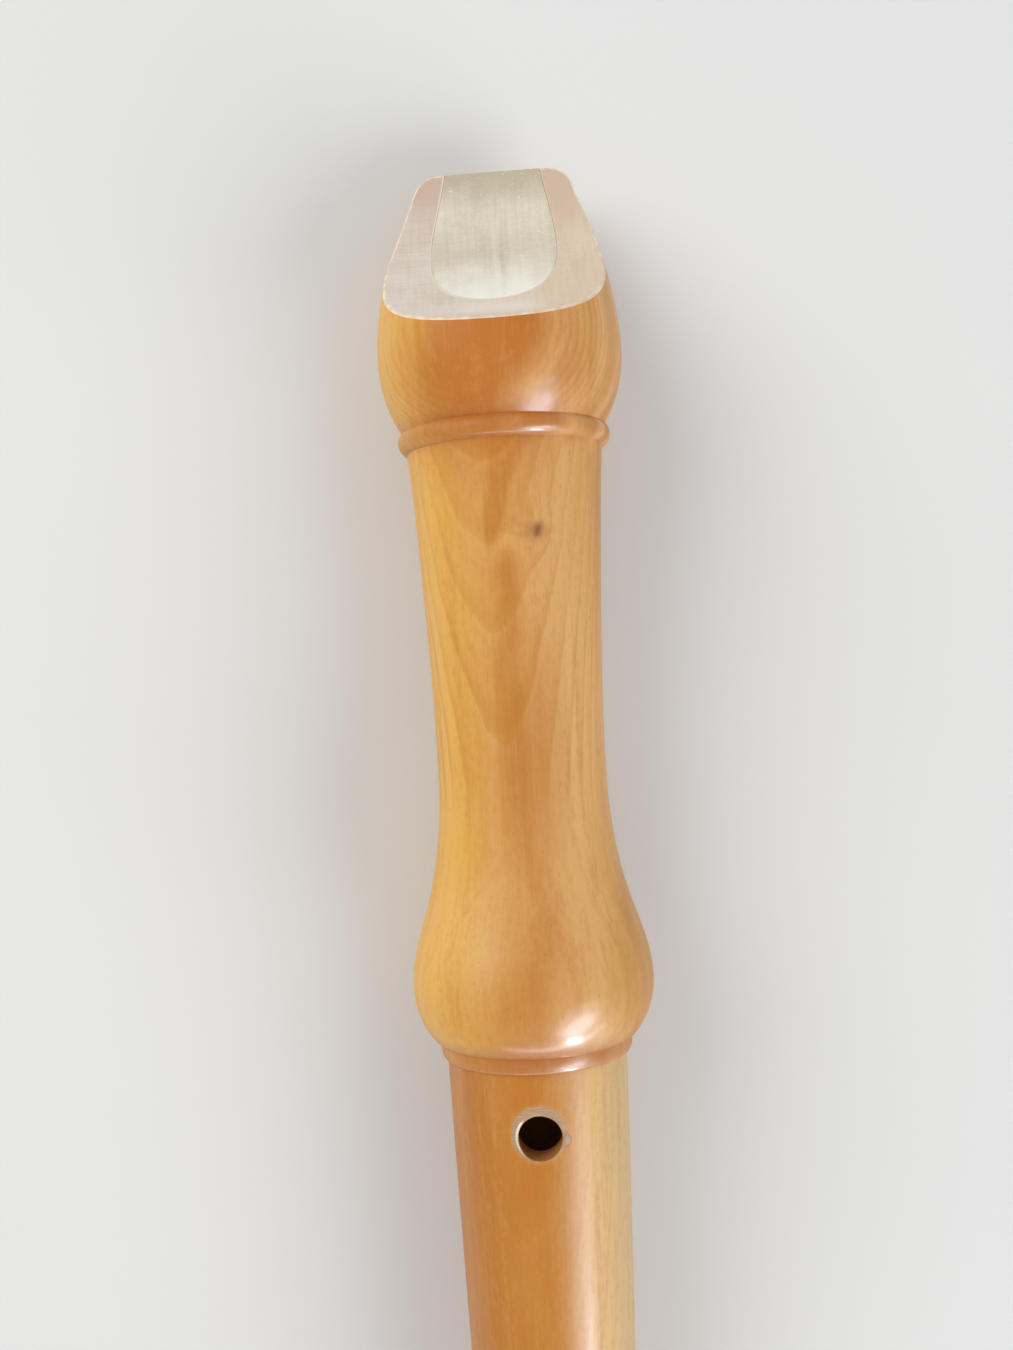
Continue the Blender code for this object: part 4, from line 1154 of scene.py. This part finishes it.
def cedar(name):
    """Bare cedar of the block, greyed by breath, with fine grain along it, darker towards the tip and paler at the
    heel.
    """
    finish = Finish(name)
    x, y, z = finish.parts()
    grain = finish.noise((2400.0, 55.0, 90.0), 3.0, 0.6)
    band = finish.noise((700.0, 14.0, 30.0), 2.0, 0.5)
    speck = finish.noise((2800.0, 1500.0, 2800.0), 2.0, 0.6)
    cloud = finish.noise((240.0, 170.0, 240.0), 3.0, 0.6)
    heart = x.above(-0.0035, 0.001) * x.below(0.001, 0.0045) * y.below(0.1535, 0.158)
    scuff = finish.noise((420.0, 2300.0, 420.0), 3.0, 0.7)
    tone = (grain - 0.5) * 0.6 + (band - 0.5) * (0.3 + heart * 1.2) + (cloud - 0.5) * 0.7 + (speck - 0.5) * 0.4
    tone = tone + (scuff - 0.5) * 0.7
    colour = finish.mix((tone * 0.8 + 0.2).clamped(), rgb(231, 222, 203), rgb(176, 164, 138))
    tip_darkening = y + (cloud - 0.5) * 0.004
    tip_darkening = tip_darkening.above(0.1565, 0.1635) + tip_darkening.above(0.147, 0.151) * tip_darkening.below(0.151, 0.1565) * 0.25
    colour = finish.mix(tip_darkening * 0.95, colour, rgb(192, 177, 152))
    heel_paling = (y + (cloud - 0.5) * 0.003 + (band - 0.5) * 0.003 + x * x * 10.0).below(0.1405, 0.1515)
    cut = (finish.distance(x, 0.0, z - AXIS_HEIGHT) - seat_radius(y)).below(-0.0004, -0.00008) * y.above(0.139, 0.1415)
    colour = finish.mix(heel_paling * cut * 0.95, colour, rgb(250, 248, 238))
    dust = finish.noise((4200.0, 4200.0, 4200.0), 0.0, 0.5).above(0.76, 0.8)
    colour = finish.mix(dust * 0.7, colour, rgb(250, 247, 238))
    finish.surface(Base_Color=colour, Roughness=0.7 + speck * 0.1, Normal=finish.bumped(grain, 0.2, 0.0001))
    return finish.material


def cork(name):
    """Sheet cork lapping, with its dark lenticels."""
    finish = Finish(name)
    cells = finish.noise((1400.0, 1400.0, 1400.0), 4.0, 0.7)
    pits = finish.noise((500.0, 900.0, 500.0), 2.0, 0.6)
    colour = finish.mix(cells, rgb(192, 150, 104), rgb(150, 104, 64))
    colour = finish.mix(pits.above(0.6, 0.68) * 0.7, colour, rgb(96, 60, 34))
    normal = finish.bumped(cells, 0.5, 0.0003)
    finish.surface(Base_Color=colour, Roughness=0.85 + cells * 0.05, Normal=normal)
    return finish.material


# The pieces

def joined_to_model(piece, node, body):
    """Lets a fine piece stand for its node of the model."""
    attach(piece, body)
    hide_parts(node)


def head_joint(materials, cut):
    full = [(HEAD_LENGTH, 0.0)] + head_outline()
    low = HEAD_LENGTH - RING_FROM_TIP + RING_BEAD_RADIUS
    rings, finishes = beaked_rings(full, BEAK_EDGE, low, cut)
    for z, r in head_outline():
        if z < low:
            rings.append(ring_points(r * INSCRIBED, z, BEAK_COLUMNS))
            finishes.append(TURNED)
    mesh = joined_rings("fine_head_joint", rings, finishes, False)
    cutters = [head_bore(), windway_roof(), window(), ramp(), undercut()]
    piece = carved("fine_head_joint", mesh, cutters, HEAD_PLACE, materials)
    joined_to_model(piece, "head_joint", "head")


def cedar_block(material, cut):
    end, lower = BLOCK_SEAT_TIP_RADIUS - BLOCK_FIT, BLOCK_SEAT_RADIUS - BLOCK_FIT
    outline = [(HEAD_LENGTH, 0.0)]
    for i in range(SHORT + 1):
        angle = math.pi / 2 * i / SHORT
        ease = BLOCK_END_EDGE * (1 - math.sin(angle))
        outline.append((HEAD_LENGTH - BLOCK_END_EDGE * (1 - math.cos(angle)), end - ease))
    outline.append((WINDOW_RISE, lower))
    rings, finishes = beaked_rings(outline, BLOCK_EDGE, WINDOW_RISE, cut)
    mesh = joined_rings("fine_block", rings, [0] * len(finishes), False)
    piece = carved("fine_block", mesh, [planed_floor(), block_chamfer()], HEAD_PLACE, [material])
    joined_to_model(piece, "block", "block")


def middle_joint(materials):
    top = (0.0, MIDDLE_TOP_RADIUS)
    knee = (-MIDDLE_KNEE_DROP, MIDDLE_KNEE_RADIUS)
    bottom = (-MIDDLE_LENGTH, MIDDLE_BOTTOM_RADIUS)
    upper = tenon_outline(UPPER_TENON_LENGTH, UPPER_TENON_RADIUS, UPPER_CORK_START, UPPER_CORK_LENGTH)
    shoulder = [(SHOULDER_LIFT, UPPER_TENON_RADIUS), (SHOULDER_LIFT, MIDDLE_TOP_RADIUS - SHOULDER_EASE)]
    body = [(SHOULDER_LIFT - SHOULDER_EASE, MIDDLE_TOP_RADIUS)]
    body += blend(top, knee, -MIDDLE_TOP_SLOPE, -MIDDLE_KNEE_SLOPE, SHORT)
    body += blend(knee, bottom, -MIDDLE_KNEE_SLOPE, 0.0, LONG)
    lower = tenon_outline(LOWER_TENON_LENGTH, LOWER_TENON_RADIUS, LOWER_CORK_START, LOWER_CORK_LENGTH)
    lower[-1] = (SHOULDER_LIFT, LOWER_TENON_RADIUS)
    lower.append((SHOULDER_LIFT, MIDDLE_BOTTOM_RADIUS))
    lower = [(-MIDDLE_LENGTH - z, r) for z, r in reversed(lower)]
    bore = [
        (-MIDDLE_LENGTH - LOWER_TENON_LENGTH, MIDDLE_BORE_BOTTOM_RADIUS),
        (UPPER_TENON_LENGTH, MIDDLE_BORE_TOP_RADIUS),
    ]
    stretches = [(upper[:-1] + shoulder, INSIDE), (body, TURNED), (lower, INSIDE), (bore, INSIDE)]
    mesh = turned_mesh("fine_middle_joint", stretches)

    def outside(height):
        return radius_at(body, height)

    height = -THUMB_HOLE_SHARE * MIDDLE_LENGTH
    cutters = [rimmed_hole(height, THUMB_HOLE_WIDTH, 0.0, True, outside, worn_rim)]
    for share, width in FRONT_HOLES:
        cutters.append(rimmed_hole(-share * MIDDLE_LENGTH, width, 0.0, False, outside, even_rim))
    height = -HOLE_6_SHARE * MIDDLE_LENGTH
    for turn, width in double_hole(HOLE_6_LARGE_WIDTH, HOLE_6_SMALL_WIDTH, MIDDLE_BOTTOM_RADIUS):
        cutters.append(rimmed_hole(height, width, turn, False, outside, even_rim))
    piece = carved("fine_middle_joint", mesh, cutters, LAID_DOWN, materials)
    joined_to_model(piece, "middle_joint", "middle")


def cork_lapping(name, radius, start, length, base, sign, node, cork_sheet):
    inside = radius - CORK_GROOVE_DEPTH + CORK_SEAT_GAP
    outside = radius + CORK_PROUD
    ends = (sign * (start + CORK_SEAT_GAP), sign * (start + length - CORK_SEAT_GAP))
    low, high = min(ends), max(ends)
    outline = []
    for i in range(SHORT + 1):
        angle = math.pi / 2 * i / SHORT
        ease = CORK_EDGE * (1 - math.sin(angle))
        outline.append((high - CORK_EDGE * (1 - math.cos(angle)), outside - ease))
    for z, r in reversed(outline[:]):
        outline.append((low + high - z, r))
    outline += [(low, inside), (high, inside)]
    place = LAID_DOWN @ Matrix.Translation((0.0, 0.0, base))
    piece = carved(name, turned_mesh(name, [(outline, 0)]), [], place, [cork_sheet])
    joined_to_model(piece, node, "middle")


def foot_joint(materials):
    outer = foot_outline()
    inner = [
        (-FOOT_LENGTH, FOOT_BORE_END_RADIUS + BORE_MOUTH_CHAMFER),
        (-FOOT_LENGTH + BORE_MOUTH_CHAMFER, FOOT_BORE_END_RADIUS),
        (-LOWER_SOCKET_DEPTH, FOOT_BORE_RADIUS),
        (-LOWER_SOCKET_DEPTH, LOWER_SOCKET_RADIUS),
        (-SOCKET_MOUTH_CHAMFER, LOWER_SOCKET_RADIUS),
        (0.0, LOWER_SOCKET_RADIUS + SOCKET_MOUTH_CHAMFER),
    ]

    def outside(height):
        return radius_at(outer, height)

    cutters = []
    for turn, width in double_hole(HOLE_7_LARGE_WIDTH, HOLE_7_SMALL_WIDTH, FOOT_SWELL_RADIUS):
        turned = turn + FOOT_TURN
        cutters.append(rimmed_hole(-HOLE_7_BELOW_FOOT_TOP, width, turned, False, outside, even_rim))
    mesh = turned_mesh("fine_foot_joint", [(outer, TURNED), (inner, INSIDE)])
    piece = carved("fine_foot_joint", mesh, cutters, FOOT_PLACE, materials)
    joined_to_model(piece, "foot_joint", "foot")


# Floor, light and camera

CAMERA_FROM_TIP = 0.0692
CAMERA_SIDE = -0.00138
CAMERA_ABOVE_AXIS = 0.191
CAMERA_ROLL = math.radians(-3.14)
PHOTO_LONG_SIDE = 1350
FOCAL_PIXELS = 1430
SENSOR = 36.0
FLOOR_HALF = 3.0


def studio():
    """A pale floor, two broad soft lamps and an even sky."""
    h = FLOOR_HALF
    mesh = bpy.data.meshes.new("floor")
    mesh.from_pydata([(-h, -h, 0), (h, -h, 0), (h, h, 0), (-h, h, 0)], [], [(0, 1, 2, 3)])
    floor = bpy.data.objects.new("floor", mesh)
    bpy.context.scene.collection.objects.link(floor)
    finish = Finish("floor_paint")
    mottle = finish.noise((9.0, 9.0, 9.0), 2.0)
    colour = finish.mix(mottle, (0.74, 0.74, 0.73, 1.0), (0.79, 0.79, 0.78, 1.0))
    finish.surface(Base_Color=colour, Roughness=0.9)
    mesh.materials.append(finish.material)

    target = Vector((0.0, 0.07, AXIS_HEIGHT))
    lamp("window_light", target, Vector((0.58, -0.60, 0.55)), 1.1, 0.9, 0.6, 6.5, (0.97, 0.985, 1.0))
    side_fill = lamp("side_fill", target, Vector((-0.66, 0.50, 0.62)), 1.2, 1.1, 1.1, 9.0, (1.0, 0.98, 0.94))
    side_fill.visible_glossy = False
    glints = [
        lamp("side_glint", target, Vector((-0.66, 0.50, 0.62)), 1.2, 1.1, 1.1, 5.5, (1.0, 0.97, 0.9)),
        lamp("window_glint", target, Vector((0.55, -0.68, 0.50)), 1.1, 0.6, 0.36, 8.0, (0.68, 0.84, 1.0)),
        lamp("low_glint", target, Vector((0.41, -0.88, 0.24)), 1.1, 0.16, 0.18, 9.0, (0.82, 0.92, 1.0)),
        lamp("long_glint", target, Vector((0.25, -0.95, 0.16)), 1.2, 1.8, 0.14, 9.0, (0.64, 0.80, 1.0)),
    ]
    for glint in glints:
        glint.visible_diffuse = False

    world = bpy.data.worlds.new("sky")
    world.use_nodes = True
    background = world.node_tree.nodes["Background"]
    background.inputs["Color"].default_value = (0.95, 0.97, 1.0, 1.0)
    background.inputs["Strength"].default_value = 0.47
    bpy.context.scene.world = world


def lamp(name, target, direction, distance, width, height, watts, colour):
    data = bpy.data.lights.new(name, "AREA")
    data.shape = "ELLIPSE"
    data.size = width
    data.size_y = height
    data.energy = watts
    data.color = colour
    light = bpy.data.objects.new(name, data)
    bpy.context.scene.collection.objects.link(light)
    light.location = target + direction.normalized() * distance
    light.rotation_euler = direction.to_track_quat("Z", "Y").to_euler()
    return light


def photo_camera():
    """The camera straight above the head joint, rolled a little, as the photograph was taken."""
    data = bpy.data.cameras.new("photo_camera")
    data.sensor_fit = "AUTO"
    data.sensor_width = SENSOR
    data.lens = FOCAL_PIXELS / PHOTO_LONG_SIDE * SENSOR
    data.clip_start = 0.01
    data.clip_end = 20.0
    camera = bpy.data.objects.new("photo_camera", data)
    bpy.context.scene.collection.objects.link(camera)
    tip = ALONG_SHIFT + HIGHEST_Z
    camera.location = (CAMERA_SIDE, tip - CAMERA_FROM_TIP, AXIS_HEIGHT + CAMERA_ABOVE_AXIS)
    camera.rotation_euler = (0.0, 0.0, CAMERA_ROLL)
    bpy.context.scene.camera = camera


def build():
    bpy.context.scene.view_settings.view_transform = "Standard"
    tip = ALONG_SHIFT + HIGHEST_Z
    knot = (0.0035, tip - 0.0512)
    bulb = (-0.0012, tip - BEAK_BULB_FROM_TIP - 0.004)
    lines = (tip - 0.080, tip - 0.0395)
    tint_shade_and_sheen = (
        (bulb, 0.0138, 0.0175, 1.25, BULB_PEAR),
        ((0.0016, tip - 0.079), 0.0055, 0.02, 0.42, HEART_PEAR),
        # painted highlight: a pale pinkish patch on the left of the lower bulb, standing in for light reflected from
        # the lower left
        ((-0.008, tip - 0.1041), 0.006, 0.012, 0.3, rgb(238, 194, 132)),
        ((-0.0004, tip - 0.1118), 0.013, 0.0105, 0.3, BULB_PEAR),
        # painted shade: darkens the band under the lower bulb, as if in the bulb's shade
        ((0.0, tip - 0.1182), 0.03, 0.0034, 0.75, PAINTED_SHADE_BROWN),
        # painted shade: darkens the bead ring below the beak bulb and its grooves, as if in contact shadow
        ((0.0, tip - RING_FROM_TIP), 0.03, 0.003, 0.6, PAINTED_SHADE_BROWN),
    )
    hole = (-MIDDLE_TOP_RADIUS * math.sin(LAID_TURN), ALONG_SHIFT - THUMB_HOLE_SHARE * MIDDLE_LENGTH)
    worn = (hole[0] - 0.0001, hole[1] + 0.00062, 0.00355, hole[0] + 0.0034, hole[1] - 0.0005, hole[0])
    head_sides = [
        (0.08, YELLOW_PEAR),
        (0.22, YELLOW_PEAR),
        (0.36, TAN_PEAR),
        (0.62, PINK_PEAR),
        (0.75, rgb(225, 172, 106)),
        (0.82, rgb(217, 160, 84)),
        (0.88, rgb(200, 140, 56)),
    ]
    middle_sides = [
        (0.17, rgb(186, 116, 40)),
        (0.32, rgb(195, 124, 48)),
        (0.5, rgb(199, 128, 48)),
        (0.64, rgb(207, 149, 84)),
        (0.75, rgb(231, 188, 128)),
        (0.83, rgb(212, 176, 122)),
    ]
    bends = ((tip - 0.0995, tip - 0.088, 0.0026), (tip - 0.112, tip - 0.104, -0.0022))
    head_wood = pear(
        "lacquered_pear_head",
        (3.1, 7.7, 1.3),
        head_sides,
        0.32,
        bends=bends,
        fork=tip - 0.0533,
        lines=lines,
        knot=knot,
        bulb=bulb,
        tint_shade_and_sheen=tint_shade_and_sheen,
    )
    middle_wood = pear("lacquered_pear_middle", (11.4, 2.9, 6.1), middle_sides, heart=0.4, worn=worn)
    foot_wood = pear("lacquered_pear_foot", (5.2, 13.3, 9.9), head_sides, 0.7, narrow=-0.06)
    bare = sanded_pear("sanded_pear")
    inside = oiled_pear("oiled_pear")
    # the beak's edge: rubbed wear with a painted highlight
    rubbed = rubbed_highlit_pear("rubbed_highlit_pear")
    cork_sheet = cork("sheet_cork")
    cut = BeakCut()
    head_joint([head_wood, bare, inside, rubbed], cut)
    cedar_block(cedar("bare_cedar"), cut)
    middle_joint([middle_wood, bare, inside])
    foot_joint([foot_wood, bare, inside])
    cork_lapping(
        "fine_upper_cork",
        UPPER_TENON_RADIUS,
        UPPER_CORK_START,
        UPPER_CORK_LENGTH,
        0.0,
        1,
        "upper_tenon_cork",
        cork_sheet,
    )
    cork_lapping(
        "fine_lower_cork",
        LOWER_TENON_RADIUS,
        LOWER_CORK_START,
        LOWER_CORK_LENGTH,
        -MIDDLE_LENGTH,
        -1,
        "lower_tenon_cork",
        cork_sheet,
    )
    studio()
    photo_camera()


build()
